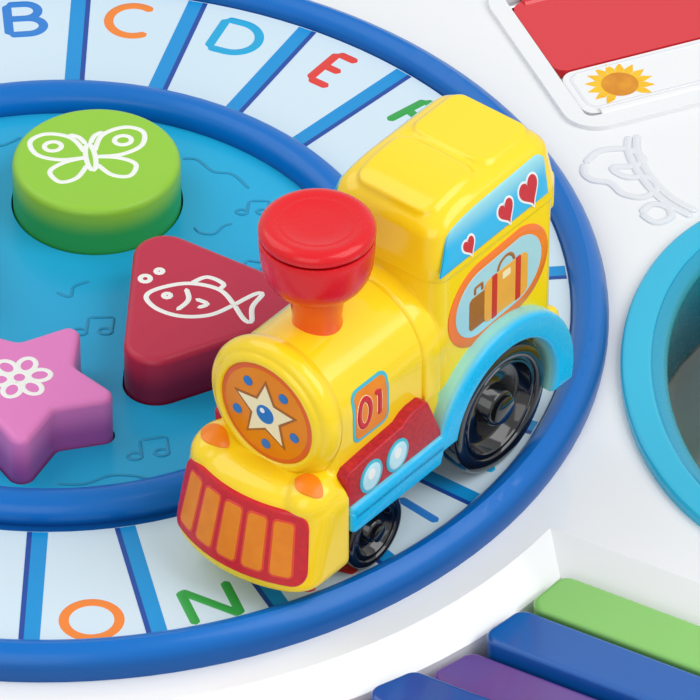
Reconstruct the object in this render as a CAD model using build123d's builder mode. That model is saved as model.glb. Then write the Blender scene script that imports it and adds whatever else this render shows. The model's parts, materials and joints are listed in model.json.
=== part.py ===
"""Musical activity table: a toddler's play table with a letter train, shape buttons, a book and a piano.

Frame: origin on the floor below the middle of the table, +Z up, +X to the right, -Y towards the player.
All sizes are millimetres.
"""
import os
from math import cos, radians, sin, sqrt

from build123d import *

os.makedirs("parts", exist_ok=True)

# ---------------------------------------------------------------- driving sizes: casing and legs
table_length = 500.0
table_depth = 470.0
table_corner = 120.0
surface_z = 385.0          # white upper face of the table
top_skirt = 36.0           # height of the upper shell
base_height = 30.0         # height of the lower shell
casing_wall = 2.8
top_edge_round = 9.0
base_edge_round = 7.0
lip_width = 1.6            # locating lip between the two shells
lip_height = 4.0
leg_inset_x = 82.0         # from the table's ends to the legs' middles
leg_inset_y = 85.0         # from its sides
leg_top_r = 22.0
leg_foot_r = 19.0
leg_wall = 2.6
leg_fit = 0.3
socket_wall = 3.2
socket_depth = 24.0
leg_taper_drop = 30.0      # from the socket down to where the leg starts to narrow
pad_height = 5.0
pad_rim = 2.0
pad_plug = 9.0
screw_r = 1.6              # all self-tapping screws
screw_head_r = 3.1
screw_head_height = 2.0
screw_clearance = 0.15
screw_grip = 10.0
boss_wall = 2.2
boss_sink = 0.6            # how far a boss runs into the wall beside it
corner_screw_inset_x = 50.0
corner_screw_inset_y = 53.0
middle_screw_inset = 15.0  # of the screw at the middle of each long side
side_screw_inset = 16.0
side_screw_y = 75.0

# ---------------------------------------------------------------- driving sizes: letter track
letter_count = 26
track_rise = 3.9           # printed track above the white surface
track_outer_r = 130.0      # foot of the outer rail
track_inner_r = 86.0       # foot of the inner rail
label_thickness = 0.3
label_inner_gap = 2.5
label_outer_gap = 0.4
outer_rail_width = 9.2
outer_rail_height = 4.7
inner_rail_width = 9.3
inner_rail_height = 6.5
disc_rise = 0.4            # turquoise disc above the track
ring_seat_width = 2.0      # the rail's foot on the white surface, inside the track
fit_gap = 0.3              # loose gap between bodies that are no fit
sensor_board_r = 80.0
sensor_board_drop = 21.0
board_thickness = 1.6
board_post_r = 3.6
board_post_spread = 70.0
board_post_count = 4

# ---------------------------------------------------------------- driving sizes: shape buttons
button_rise = 14.0         # button tops above the disc
button_gap = 0.5           # gap between a button and its hole
button_wall = 2.2
button_edge_round = 2.0
button_flange = 2.0
button_flange_height = 1.8
button_travel = 2.5
button_post_r = 3.0
button_post_end = 10.5     # lower end of the post below the white surface
button_spring_r = 4.6
spring_wire_r = 0.45
spring_turns = 4
round_button_r = 21.5
triangle_side = 62.5
triangle_round = 8.0
triangle_turn = -5.0       # degrees about the triangle's centre
star_tip_r = 27.0
star_waist_r = 14.5
star_points = 5
star_round = 3.0
square_side = 37.0
square_round = 7.0
square_turn = 15.0
button_places = {
    "round": (11.0, 40.0),
    "triangle": (36.0, -17.0),
    "star": (-9.5, -46.5),
    "square": (-40.0, 9.0),
}

# ---------------------------------------------------------------- driving sizes: train
train_orbit_r = 106.0
train_angle = 131.5        # clockwise from the back of the table, seen from above
front_axle_x = 27.0
rear_axle_x = -21.5
front_wheel_r = 10.5
rear_wheel_r = 18.0
wheel_width = 6.0
wheel_outer_y = 20.0
wheel_dish = 1.8
wheel_rim = 3.0
wheel_edge_round = 0.9
hub_r = 3.2
axle_r = 1.5
axle_fit = 0.06
ear_thickness = 2.6
ear_side_gap = 0.5
ear_margin = 1.0           # of an ear beyond the hub it carries, fore and aft
base_plate_z = 22.0
base_plate_thickness = 2.4
train_screw_grip = 6.0
body_half_width = 17.5
body_wall = 2.0
boiler_axis_z = 49.0
boiler_front_x = 44.0
boiler_rim_r = 19.0
boiler_rim_depth = 2.4
cab_front_x = 1.5
cab_rear_x = -46.0
cab_corner = 5.0
cab_top_z = 73.5
roof_top_z = 88.0
roof_overhang = 0.6
roof_round = 5.0
roof_panel_rise = 1.2
roof_panel_corner = 3.0
roof_panel_gap = 1.5       # from each panel to the roof's middle
roof_taper = 8.0           # degrees, of the roof's sides
bumper_front_x = 58.0
bumper_back_x = 39.0
bumper_half_width = 21.5
bumper_bottom_z = 8.5
bumper_top_z = 34.5
bumper_corner = 8.0
bumper_nose_r = 39.0
bumper_lean = 6.5          # by which the bumper's top lies behind its bottom
grille_thickness = 1.0
grille_half_width = 18.0
grille_bottom_z = 11.5
grille_top_z = 31.5
grille_bars = 5
grille_border = 3.0        # above and below the slots
grille_rib = 1.6           # between two slots
grille_side = 2.0
badge_r = 14.0
badge_thickness = 1.4
deck_front_x = 38.5
deck_back_x = 3.0
deck_bottom_z = 26.5
deck_top_z = 38.5
deck_width = 3.4
fender_outer_y = 22.0
fender_bottom_z = 21.5
fender_end_z = 12.0        # lower ends of the arch
fender_thickness = 7.5
fender_clearance = 1.4
funnel_x = 25.5
funnel_stem_r = 6.0
funnel_flare = 1.8         # the stem widens by this much over the same height below the bowl
funnel_bowl_r = 14.0
funnel_bowl_low_z = 78.5
funnel_rim_z = 92.0
funnel_cap_rise = 3.5
funnel_cap_travel = 1.0
funnel_floor_rise = 5.0     # floor of the bowl above its neck
coupler_half_width = 15.0
coupler_z = 62.0
coupler_height = 12.0
coupler_length = 2.6
coupler_corner = 2.0

# ---------------------------------------------------------------- driving sizes: book
book_corner_x = 135.7
book_corner_y = 67.1
book_turn = 20.0
book_length = 78.0
book_depth = 66.0
book_border = 5.0
book_frame_rise = 1.4
book_recess = 6.4
leaf_thickness = 2.4
leaf_seam_v = 26.5         # where the two leaves meet, from the frame's near edge
leaf_corner = 4.0
book_recess_corner = 2.5   # of the recess that the leaves lie in
leaf_side_gap = 0.8
hinge_pin_r = 1.0
hinge_fit = 0.06
knuckle_wall = 1.1
card_thickness = 0.6

# ---------------------------------------------------------------- driving sizes: roller
roller_x = 186.0
roller_y = -34.0
roller_half_width = 45.5
roller_half_depth = 71.0
bezel_width = 8.0
bezel_rise = 3.0
bezel_foot = 6.0
roller_well_depth = 34.0
roller_r = 22.0
roller_length = 92.0
roller_end_r = 15.0
roller_axis_drop = 8.0
roller_axle_r = 2.0
roller_ribs = 12
roller_rib_r = 1.5
roller_ear_thickness = 5.0
roller_ear_width = 16.0
roller_ear_cap = 6.0       # the ears' tops above the axle's middle

# ---------------------------------------------------------------- driving sizes: piano
piano_turn = -32.0         # direction in which the keys point
key_count = 5
key_pitch = 16.2
key_width = 14.8
key_length = 66.0
key_back_r = 158.0         # the keys' back ends lie on this circle about the ring
key_first_offset = 20.3    # near side of the first key, measured across the keys
key_skirt = 9.0
key_wall = 1.8
key_end_round = 4.0
key_edge_round = 1.4
key_drop = 3.0             # tops of the high keys below the white surface
key_step = 3.5             # low keys below the high ones
low_keys = (3, 5)
key_press_deg = 3.0
piano_side_margin = 2.0
piano_slope = 8.0          # width of the sloping rim round the well
piano_slope_depth = 7.0
piano_end_margin = 2.0
piano_well_depth = 26.0
pivot_rod_r = 1.5
pivot_fit = 0.06
pivot_inset = 4.0          # of the keys' pivot from the circle of their back ends
pivot_drop = 14.0
pivot_boss_wall = 1.8
dome_strip_thickness = 1.5
strip_length = 20.0
strip_overlap = 0.5        # by which neighbouring pads of the strip run together, each way
dome_r = 3.5
dome_height = 3.0
dome_gap = 0.3
dome_end = 14.0            # middle of a dome from the key's front end
rod_seat = 1.2             # depth of the rod's seat in each end wall
dome_taper = 15.0          # degrees

# ---------------------------------------------------------------- driving sizes: electronics
speaker_x = -178.0
speaker_y = -40.0
speaker_r = 26.0
speaker_depth = 16.0
speaker_magnet_r = 14.0
grille_hole_r = 1.6
grille_rings = 4
grille_pitch = 6.0
main_board_x = -120.0
main_board_y = 110.0
main_board_length = 90.0
main_board_width = 60.0
main_board_rise = 8.0
main_board_inset = 5.0     # of its posts from its edges
chip_side = 16.0
chip_height = 2.4
capacitor_r = 4.0
capacitor_height = 8.0
capacitor_along = 25.0     # of the capacitors from the chip, along the board
capacitor_aside = 12.0
switch_x = -150.0
switch_y = -150.0
switch_slot_length = 22.0
switch_slot_width = 7.0
switch_throw = 6.0
switch_rise = 2.2
slider_length = 24.0
slider_width = 11.0
slider_thickness = 1.6
knob_length = 9.0
knob_round = 0.8
rail_width = 2.0
rail_lip = 1.4
battery_r = 7.0
battery_length = 50.0
battery_count = 3
battery_gap = 1.2
battery_end_room = 4.0     # for the contacts, at each end of the cells
battery_top_room = 2.0
bay_wall = 1.8
cell_nub = 1.5
contact_plate = 0.6
battery_y = 0.0
door_length = 74.0
door_width = 58.0
door_thickness = 2.2
door_fit = 0.4

# ---------------------------------------------------------------- worked-out heights and places
leg_spread_x = table_length / 2 - leg_inset_x
leg_spread_y = table_depth / 2 - leg_inset_y
corner_screw_x = table_length / 2 - corner_screw_inset_x
corner_screw_y = table_depth / 2 - corner_screw_inset_y
middle_screw_y = table_depth / 2 - middle_screw_inset
side_screw_x = table_length / 2 - side_screw_inset
pivot_along = key_back_r + pivot_inset
seam_z = surface_z - top_skirt
base_z = seam_z - base_height
track_z = surface_z + track_rise
disc_top_z = track_z + disc_rise
top_underside_z = surface_z - casing_wall
outer_rail_outer_r = track_outer_r + outer_rail_width
disc_r = track_inner_r - ring_seat_width
board_top_z = surface_z - sensor_board_drop
roller_axis_z = surface_z - roller_axis_drop
near_hinge_v = book_border + hinge_pin_r + knuckle_wall + fit_gap
far_hinge_v = book_depth - near_hinge_v
hinge_z = -leaf_thickness / 2
knuckle_r = hinge_pin_r + knuckle_wall
rod_first = key_first_offset - piano_side_margin
rod_last = key_first_offset + (key_count - 1) * key_pitch + key_width + piano_side_margin

ring_plane = Plane.XY.offset(surface_z)
book_plane = Plane(origin=(book_corner_x, book_corner_y, surface_z), z_dir=(0, 0, 1),
                   x_dir=(cos(radians(book_turn)), sin(radians(book_turn)), 0))
roller_plane = Plane(origin=(roller_x, roller_y, surface_z), z_dir=(0, 0, 1), x_dir=(1, 0, 0))
piano_plane = Plane(origin=(0, 0, surface_z), z_dir=(0, 0, -1),
                    x_dir=(cos(radians(piano_turn)), sin(radians(piano_turn)), 0))
train_heading = radians(180.0 - train_angle)
train_plane = Plane(
    origin=(train_orbit_r * sin(radians(train_angle)), train_orbit_r * cos(radians(train_angle)), track_z),
    z_dir=(0, 0, 1), x_dir=(-cos(train_heading), -sin(train_heading), 0))


def save(part, name):
    """Label a finished piece and write it as its own STEP file."""
    part.label = name
    export_step(part, f"parts/{name}.step")


def button_face(shape, grow=0.0):
    """A button's outline, grown by a margin, as a loose sketch about the button's own centre."""
    if shape == "round":
        return Sketch() + Circle(round_button_r + grow)
    if shape == "square":
        side = square_side + 2 * grow
        return Sketch() + Rotation(0, 0, square_turn) * RectangleRounded(side, side, square_round + grow)
    if shape == "triangle":
        reach = triangle_side / sqrt(3) - 2 * triangle_round
        corner = Pos(reach, 0) * Circle(triangle_round + grow)
        corners = Sketch() + [Rotation(0, 0, turn + triangle_turn) * corner for turn in (0, 120, 240)]
        return Sketch() + make_hull(corners.edges())
    tips = []
    for step in range(2 * star_points):
        reach = star_waist_r if step % 2 else star_tip_r
        turn = radians(-90 + step * 180 / star_points)
        tips.append((reach * cos(turn), reach * sin(turn)))
    star = Polygon(*tips, align=None)
    smooth = fillet(star.vertices(), radius=star_round)
    return offset(smooth, amount=grow) if grow else smooth


def button_places_on(plane):
    """Each button's shape with its own plane, parallel to the given one."""
    return [(shape, plane.moved(Location((x, y, 0)))) for shape, (x, y) in button_places.items()]


def piano_outline(grow=0.0):
    """Add the outline round the keys, between two equal arcs, to the sketch at work."""
    low = key_first_offset - piano_side_margin - grow
    high = key_first_offset + (key_count - 1) * key_pitch + key_width + piano_side_margin + grow
    reach = key_back_r + key_length + piano_end_margin + grow
    with Locations((0, low)):
        Rectangle(2 * reach, high - low, align=(Align.CENTER, Align.MIN))
    with Locations((key_length + piano_end_margin + grow, 0)):
        Circle(key_back_r, mode=Mode.INTERSECT)
    Circle(key_back_r - piano_end_margin - grow, mode=Mode.SUBTRACT)


def on_piano(along, across, down, rotation=(0, 0, 0)):
    """A place in the piano's frame: along the keys, across them and below the white surface."""
    return piano_plane.location * Location((along, across, down), rotation)


def screw(place, length):
    """A pan-head screw that stands on a location, its head downwards and its shank up."""
    with Locations(place):
        Cylinder(screw_head_r, screw_head_height, align=(Align.CENTER, Align.CENTER, Align.MAX))
        Cylinder(screw_r, length, align=(Align.CENTER, Align.CENTER, Align.MIN))


def coil_spring(radius, wire, height, turns):
    """A coil spring as a loose solid that stands on the origin."""
    with BuildPart() as coil:
        with BuildLine():
            path = Helix(pitch=(height - 2 * wire) / turns, height=height - 2 * wire, radius=radius,
                         center=(0, 0, wire))
        with BuildSketch(Plane(origin=path @ 0, z_dir=path % 0)):
            Circle(wire)
        sweep(path=path, is_frenet=True)
    return coil.part


# ---------------------------------------------------------------- upper shell
casing_screws_at = [Location((x, y, 0)) for x, y in (
    (-corner_screw_x, -corner_screw_y), (corner_screw_x, -corner_screw_y),
    (-corner_screw_x, corner_screw_y), (corner_screw_x, corner_screw_y),
    (0, -middle_screw_y), (0, middle_screw_y), (-side_screw_x, side_screw_y), (side_screw_x, side_screw_y))]
board_posts_at = PolarLocations(board_post_spread, board_post_count, start_angle=55)
boss_r = screw_r + boss_wall
button_holes = {shape: button_face(shape, button_gap) for shape in button_places}

with BuildPart() as table_top:
    with BuildSketch(Plane.XY.offset(seam_z)):
        RectangleRounded(table_length, table_depth, table_corner)
    extrude(amount=top_skirt)
    fillet(table_top.faces().sort_by(Axis.Z)[-1].edges(), radius=top_edge_round)
    offset(amount=-casing_wall, openings=table_top.faces().sort_by(Axis.Z)[0])
    # casing bosses, tapped for the screws that come up from below
    with BuildSketch(Plane.XY.offset(seam_z)):
        with Locations(*casing_screws_at):
            Circle(boss_r)
            Circle(screw_r + screw_clearance, mode=Mode.SUBTRACT)
    extrude(amount=top_skirt - casing_wall)
    # posts for the sensor board
    with BuildSketch(Plane.XY.offset(board_top_z)):
        with board_posts_at:
            Circle(board_post_r)
            Circle(screw_r + screw_clearance, mode=Mode.SUBTRACT)
    extrude(amount=top_underside_z - board_top_z)
    # wells and the raised frame
    with BuildSketch(piano_plane.offset(casing_wall / 2)):
        piano_outline(casing_wall)
    extrude(amount=piano_well_depth - casing_wall / 2)
    with BuildSketch(piano_plane.offset(casing_wall / 2)):
        piano_outline(piano_slope + casing_wall)
    with BuildSketch(piano_plane.offset(piano_slope_depth + casing_wall)):
        piano_outline(casing_wall)
    loft()
    with BuildSketch(roller_plane.offset(-casing_wall / 2)):
        Ellipse(roller_half_width - bezel_foot + casing_wall, roller_half_depth - bezel_foot + casing_wall)
    extrude(amount=casing_wall / 2 - roller_well_depth)
    with BuildSketch(book_plane.offset(-casing_wall / 2)):
        with Locations((book_length / 2, book_depth / 2)):
            RectangleRounded(book_length, book_depth, leaf_corner + book_border)
    extrude(amount=casing_wall / 2 - book_recess)
    with BuildSketch(book_plane):
        with Locations((book_length / 2, book_depth / 2)):
            RectangleRounded(book_length, book_depth, leaf_corner + book_border)
    extrude(amount=book_frame_rise)
    with BuildSketch(piano_plane):
        piano_outline()
    extrude(amount=piano_well_depth - casing_wall, mode=Mode.SUBTRACT)
    with BuildSketch(piano_plane):
        piano_outline(piano_slope)
    with BuildSketch(piano_plane.offset(piano_slope_depth)):
        piano_outline()
    loft(mode=Mode.SUBTRACT)
    with BuildSketch(roller_plane):
        Ellipse(roller_half_width - bezel_foot, roller_half_depth - bezel_foot)
    extrude(amount=-(roller_well_depth - casing_wall), mode=Mode.SUBTRACT)
    with BuildSketch(book_plane.offset(book_frame_rise)):
        with Locations((book_length / 2, book_depth / 2)):
            RectangleRounded(book_length - 2 * book_border, book_depth - 2 * book_border, book_recess_corner)
    extrude(amount=-(book_recess + book_frame_rise - casing_wall), mode=Mode.SUBTRACT)
    # holes: shape buttons, speaker, switch
    for shape, plane in button_places_on(ring_plane):
        with BuildSketch(plane):
            add(button_holes[shape])
        extrude(amount=-casing_wall, mode=Mode.SUBTRACT)
    with BuildSketch(ring_plane):
        with Locations((speaker_x, speaker_y)):
            Circle(grille_hole_r)
            for ring in range(1, grille_rings):
                with PolarLocations(ring * grille_pitch, 6 * ring):
                    Circle(grille_hole_r)
        with Locations((switch_x, switch_y)):
            SlotOverall(switch_slot_length, switch_slot_width)
    extrude(amount=-casing_wall, mode=Mode.SUBTRACT)
    # speaker ring under the grille
    with BuildSketch(Plane.XY.offset(top_underside_z)):
        with Locations((speaker_x, speaker_y)):
            Circle(speaker_r + fit_gap + boss_wall)
            Circle(speaker_r + fit_gap, mode=Mode.SUBTRACT)
    extrude(amount=-speaker_depth / 2)
    # bearing ears for the roller's axle, one at each end of the well
    roller_ear_y = roller_length / 2 + fit_gap + roller_ear_thickness / 2
    roller_floor_z = surface_z - roller_well_depth + casing_wall
    with Locations((roller_x, roller_y + roller_ear_y, roller_floor_z),
                   (roller_x, roller_y - roller_ear_y, roller_floor_z)):
        Box(roller_ear_width, roller_ear_thickness, roller_axis_z + roller_ear_cap - roller_floor_z,
            align=(Align.CENTER, Align.CENTER, Align.MIN))
    with Locations(Location((roller_x, roller_y, roller_axis_z), (90, 0, 0))):
        Cylinder(roller_axle_r + axle_fit, roller_length + 2 * roller_ear_thickness + 1, mode=Mode.SUBTRACT)
    # blind seats for the book's hinge pins and the piano's pivot rod
    for hinge_v in (near_hinge_v, far_hinge_v):
        with Locations(book_plane.location * Location((book_length / 2, hinge_v, hinge_z), (0, 90, 0))):
            Cylinder(hinge_pin_r + hinge_fit, book_length - 2 * book_border + 2 * rod_seat,
                     mode=Mode.SUBTRACT)
    with Locations(on_piano(pivot_along, (rod_first + rod_last) / 2, pivot_drop, (90, 0, 0))):
        Cylinder(pivot_rod_r + pivot_fit, rod_last - rod_first + 2 * rod_seat, mode=Mode.SUBTRACT)
    # rails that carry the switch's slider under its slot
    rail_y = (slider_width + rail_width) / 2 + fit_gap
    with Locations([(switch_x, switch_y + side * rail_y, top_underside_z) for side in (-1, 1)]):
        Box(slider_length + 2 * switch_throw, rail_width, slider_thickness + 2 * fit_gap + rail_lip,
            align=(Align.CENTER, Align.CENTER, Align.MAX))
    for side in (1, -1):
        with Locations((switch_x, switch_y + side * (slider_width / 2 + fit_gap - rail_lip / 2),
                        top_underside_z - slider_thickness - 2 * fit_gap)):
            Box(slider_length + 2 * switch_throw, rail_lip, rail_lip,
                align=(Align.CENTER, Align.CENTER, Align.MAX))
save(table_top.part, "table_top")

# ---------------------------------------------------------------- lower shell
legs_at = {"front_left": (-leg_spread_x, -leg_spread_y), "front_right": (leg_spread_x, -leg_spread_y),
           "back_left": (-leg_spread_x, leg_spread_y), "back_right": (leg_spread_x, leg_spread_y)}
leg_spots = [Location((x, y, 0)) for x, y in legs_at.values()]
socket_r = leg_top_r + leg_fit
socket_outer_r = socket_r + socket_wall
base_inner_z = base_z + casing_wall
main_board_z = base_inner_z + main_board_rise
bay_length = battery_length + 2 * battery_end_room
bay_width = battery_count * (2 * battery_r + battery_gap) + battery_gap
bay_height = 2 * battery_r + battery_top_room

with BuildPart() as table_base:
    with BuildSketch(Plane.XY.offset(base_z)):
        RectangleRounded(table_length, table_depth, table_corner)
    extrude(amount=base_height)
    fillet(table_base.faces().sort_by(Axis.Z)[0].edges(), radius=base_edge_round)
    offset(amount=-casing_wall, openings=table_base.faces().sort_by(Axis.Z)[-1])
    # lip that centres the upper shell
    with BuildSketch(Plane.XY.offset(base_inner_z)):
        inner_length = table_length - 2 * casing_wall
        inner_depth = table_depth - 2 * casing_wall
        RectangleRounded(inner_length, inner_depth, table_corner - casing_wall)
        offset(amount=-lip_width, kind=Kind.ARC, mode=Mode.SUBTRACT)
    extrude(amount=base_height - casing_wall)
    with BuildSketch(Plane.XY.offset(seam_z)):
        RectangleRounded(inner_length - 2 * fit_gap, inner_depth - 2 * fit_gap,
                         table_corner - casing_wall - fit_gap)
        offset(amount=fit_gap - lip_width, kind=Kind.ARC, mode=Mode.SUBTRACT)
    extrude(amount=lip_height)
    # bosses for the casing screws
    with BuildSketch(Plane.XY.offset(base_z)):
        with Locations(*casing_screws_at):
            Circle(boss_r + boss_wall)
    extrude(amount=base_height)
    with BuildSketch(Plane.XY.offset(base_z)):
        with Locations(*casing_screws_at):
            Circle(screw_head_r + screw_clearance)
    extrude(amount=base_height / 2, mode=Mode.SUBTRACT)
    with BuildSketch(Plane.XY.offset(base_z)):
        with Locations(*casing_screws_at):
            Circle(screw_r + screw_clearance)
    extrude(amount=base_height, mode=Mode.SUBTRACT)
    # leg sockets
    with BuildSketch(Plane.XY.offset(base_z + casing_wall / 2)):
        with Locations(*leg_spots):
            Circle(socket_outer_r)
            Circle(socket_r, mode=Mode.SUBTRACT)
    extrude(amount=-(socket_depth + casing_wall / 2))
    for x, y in legs_at.values():
        side = 1 if x > 0 else -1
        with Locations(Location((x + side * socket_outer_r, y, base_z - socket_depth / 2), (0, side * 90, 0))):
            Cylinder(screw_r + screw_clearance, 4 * socket_wall, mode=Mode.SUBTRACT)
    # battery bay, open underneath
    with BuildSketch(Plane.XY.offset(base_z)):
        with Locations((0, battery_y)):
            Rectangle(bay_length + 2 * bay_wall, bay_width + 2 * bay_wall)
    extrude(amount=bay_height + door_thickness + bay_wall)
    with BuildSketch(Plane.XY.offset(base_z)):
        with Locations((0, battery_y)):
            Rectangle(bay_length, bay_width)
    extrude(amount=bay_height + door_thickness, mode=Mode.SUBTRACT)
    with BuildSketch(Plane.XY.offset(base_z)):
        with Locations((0, battery_y)):
            Rectangle(door_length + 2 * door_fit, door_width + 2 * door_fit)
    extrude(amount=door_thickness, mode=Mode.SUBTRACT)
    # seat under the door's edge, with the boss for its screw
    with BuildSketch(Plane.XY.offset(base_z + door_thickness)):
        with Locations((0, battery_y)):
            Rectangle(door_length + 4 * casing_wall, door_width + 4 * casing_wall)
            Rectangle(bay_length, bay_width, mode=Mode.SUBTRACT)
    extrude(amount=casing_wall)
    door_screw_x = (door_length + bay_length) / 4 + bay_wall / 2
    with BuildSketch(Plane.XY.offset(base_z + door_thickness)):
        with Locations((door_screw_x, battery_y)):
            Circle(boss_r)
            Circle(screw_r + screw_clearance, mode=Mode.SUBTRACT)
    extrude(amount=base_height / 3)
    with Locations((door_screw_x, battery_y, base_z + door_thickness)):
        Cylinder(screw_r + screw_clearance, base_height / 3,
                 align=(Align.CENTER, Align.CENTER, Align.MIN), mode=Mode.SUBTRACT)
    # posts for the main board
    with BuildSketch(Plane.XY.offset(base_z)):
        with Locations((main_board_x, main_board_y)):
            with GridLocations(main_board_length - 2 * main_board_inset,
                               main_board_width - 2 * main_board_inset, 2, 2):
                Circle(board_post_r)
    extrude(amount=main_board_z - base_z)
save(table_base.part, "table_base")

# ---------------------------------------------------------------- legs and rubber feet
leg_neck_z = base_z - socket_depth - leg_taper_drop
with BuildPart() as leg:
    with BuildSketch(Plane.XZ):
        with BuildLine():
            Polyline((0, pad_height), (leg_foot_r, pad_height))
            Spline((leg_foot_r, pad_height), (leg_top_r, leg_neck_z), tangents=((0, 1), (0, 1)))
            Polyline((leg_top_r, leg_neck_z), (leg_top_r, base_z), (0, base_z), (0, pad_height))
        make_face()
    revolve(axis=Axis.Z)
    offset(amount=-leg_wall, openings=leg.faces().sort_by(Axis.Z)[0])
    with Locations(Location((leg_top_r, 0, base_z - socket_depth / 2), (0, 90, 0))):
        Cylinder(screw_r + screw_clearance, 4 * leg_wall, mode=Mode.SUBTRACT)
for name, (x, y) in legs_at.items():
    save(Pos(x, y) * Rot(0, 0, 0 if x > 0 else 180) * leg.part, f"leg_{name}")

with BuildPart() as foot_pads:
    with BuildSketch():
        with Locations(*leg_spots):
            Circle(leg_foot_r + pad_rim)
    extrude(amount=pad_height)
    fillet(foot_pads.edges().group_by(Axis.Z)[0], radius=pad_rim / 2)
    with BuildSketch(Plane.XY.offset(pad_height)):
        with Locations(*leg_spots):
            Circle(leg_foot_r - leg_wall - fit_gap / 2)
    extrude(amount=pad_plug)
save(foot_pads.part, "foot_pads")

# ---------------------------------------------------------------- track ring, letter sheet and centre disc
with BuildPart() as track_ring:
    with BuildSketch(Plane.XZ):
        deck_z = track_z - label_thickness
        inner_top = track_inner_r - inner_rail_width / 2
        inner_edge = track_inner_r - inner_rail_width
        outer_top = track_outer_r + outer_rail_width * 0.52
        with BuildLine():
            Polyline((outer_rail_outer_r, surface_z), (disc_r, surface_z), (disc_r, disc_top_z),
                     (inner_edge, disc_top_z))
            ThreePointArc((inner_edge, disc_top_z), (inner_top, track_z + inner_rail_height),
                          (track_inner_r, deck_z))
            Line((track_inner_r, deck_z), (track_outer_r, deck_z))
            ThreePointArc((track_outer_r, deck_z),
                          (track_outer_r + 0.16 * outer_rail_width, track_z + 0.64 * outer_rail_height),
                          (outer_top, track_z + outer_rail_height))
            ThreePointArc((outer_top, track_z + outer_rail_height),
                          (outer_rail_outer_r - 0.13 * outer_rail_width, track_z + 0.47 * outer_rail_height),
                          (outer_rail_outer_r, surface_z))
        make_face()
    revolve(axis=Axis.Z)
save(track_ring.part, "track_ring")

with BuildPart() as letter_sheet:
    with BuildSketch(Plane.XY.offset(track_z - label_thickness)):
        Circle(track_outer_r - label_outer_gap)
        Circle(track_inner_r + label_inner_gap, mode=Mode.SUBTRACT)
    extrude(amount=label_thickness)
save(letter_sheet.part, "letter_sheet")

with BuildPart() as centre_disc:
    with BuildSketch(ring_plane):
        Circle(disc_r - fit_gap / 2)
    extrude(amount=disc_top_z - surface_z)
    for shape, plane in button_places_on(ring_plane):
        with BuildSketch(plane):
            add(button_holes[shape])
        extrude(amount=disc_top_z - surface_z, mode=Mode.SUBTRACT)
save(centre_disc.part, "centre_disc")

with BuildPart() as sensor_board:
    with BuildSketch(Plane.XY.offset(board_top_z - board_thickness)):
        Circle(sensor_board_r)
        with board_posts_at:
            Circle(screw_r + screw_clearance, mode=Mode.SUBTRACT)
    extrude(amount=board_thickness)
save(sensor_board.part, "sensor_board")

# ---------------------------------------------------------------- shape buttons and their springs
button_faces = {shape: button_face(shape) for shape in button_places}
button_cores = {shape: offset(button_face(shape), amount=-button_wall) for shape in button_places}
button_flanges = {shape: button_face(shape, button_flange) for shape in button_places}
button_top_z = disc_top_z + button_rise
flange_top_z = top_underside_z - fit_gap
post_end_z = surface_z - button_post_end

for shape, plane in button_places_on(Plane.XY):
    with BuildPart() as button:
        with BuildSketch(plane.offset(flange_top_z)):
            add(button_faces[shape])
        extrude(amount=button_top_z - flange_top_z)
        fillet(button.faces().sort_by(Axis.Z)[-1].edges(), radius=button_edge_round)
        with BuildSketch(plane.offset(flange_top_z - button_flange_height)):
            add(button_flanges[shape])
        extrude(amount=button_flange_height)
        with BuildSketch(plane.offset(flange_top_z - button_flange_height)):
            add(button_cores[shape])
        extrude(amount=button_top_z - button_wall - flange_top_z + button_flange_height, mode=Mode.SUBTRACT)
        with BuildSketch(plane.offset(post_end_z)):
            Circle(button_post_r)
        extrude(amount=button_top_z - button_wall - post_end_z)
        with BuildSketch(plane.offset(post_end_z + button_travel)):
            Circle(button_spring_r + 2 * spring_wire_r)
        extrude(amount=button_wall)
    save(button.part, f"button_{shape}")
    spring_height = post_end_z + button_travel - board_top_z
    spring = coil_spring(button_spring_r, spring_wire_r, spring_height, spring_turns)
    save(plane.offset(board_top_z).location * spring, f"spring_{shape}")

# ---------------------------------------------------------------- train: body, roof and base
deck_level = base_plate_z + base_plate_thickness
arch_r = rear_wheel_r + fender_clearance
wheel_inner_y = wheel_outer_y - wheel_width
nose_back = bumper_front_x - bumper_nose_r
bumper_lean_rate = bumper_lean / (bumper_top_z - bumper_bottom_z)
bumper_rise = (train_plane.z_dir - train_plane.x_dir * bumper_lean_rate).normalized()
bumper_stretch = sqrt(1 + bumper_lean_rate ** 2)
boiler_half_width = body_half_width
inner_half_width = body_half_width - body_wall


def train_section(x):
    """The upright plane across the train at a distance along it."""
    return Plane(origin=train_plane.origin + train_plane.x_dir * x, x_dir=train_plane.y_dir,
                 z_dir=train_plane.x_dir)


def train_side(y):
    """The upright plane along the train at a distance to its left, facing right."""
    return Plane(origin=train_plane.origin + train_plane.y_dir * y, x_dir=train_plane.x_dir,
                 z_dir=-train_plane.y_dir)


def on_train(x, y, z, rotation=(0, 0, 0)):
    """A place in the train's own frame."""
    return train_plane.location * Location((x, y, z), rotation)


def arch_profile(half_width):
    """Add the boiler's cross-section, a half round on straight sides, to the sketch at work."""
    with Locations((0, base_plate_z)):
        Rectangle(2 * half_width, boiler_axis_z - base_plate_z, align=(Align.CENTER, Align.MIN))
    with Locations((0, boiler_axis_z)):
        Circle(half_width)


def bumper_plane(z):
    """The level plane at a height on the bumper, moved back as the bumper leans."""
    return train_plane.offset(z).moved(Location((bumper_lean_rate * (bumper_bottom_z - z), 0, 0)))


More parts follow.
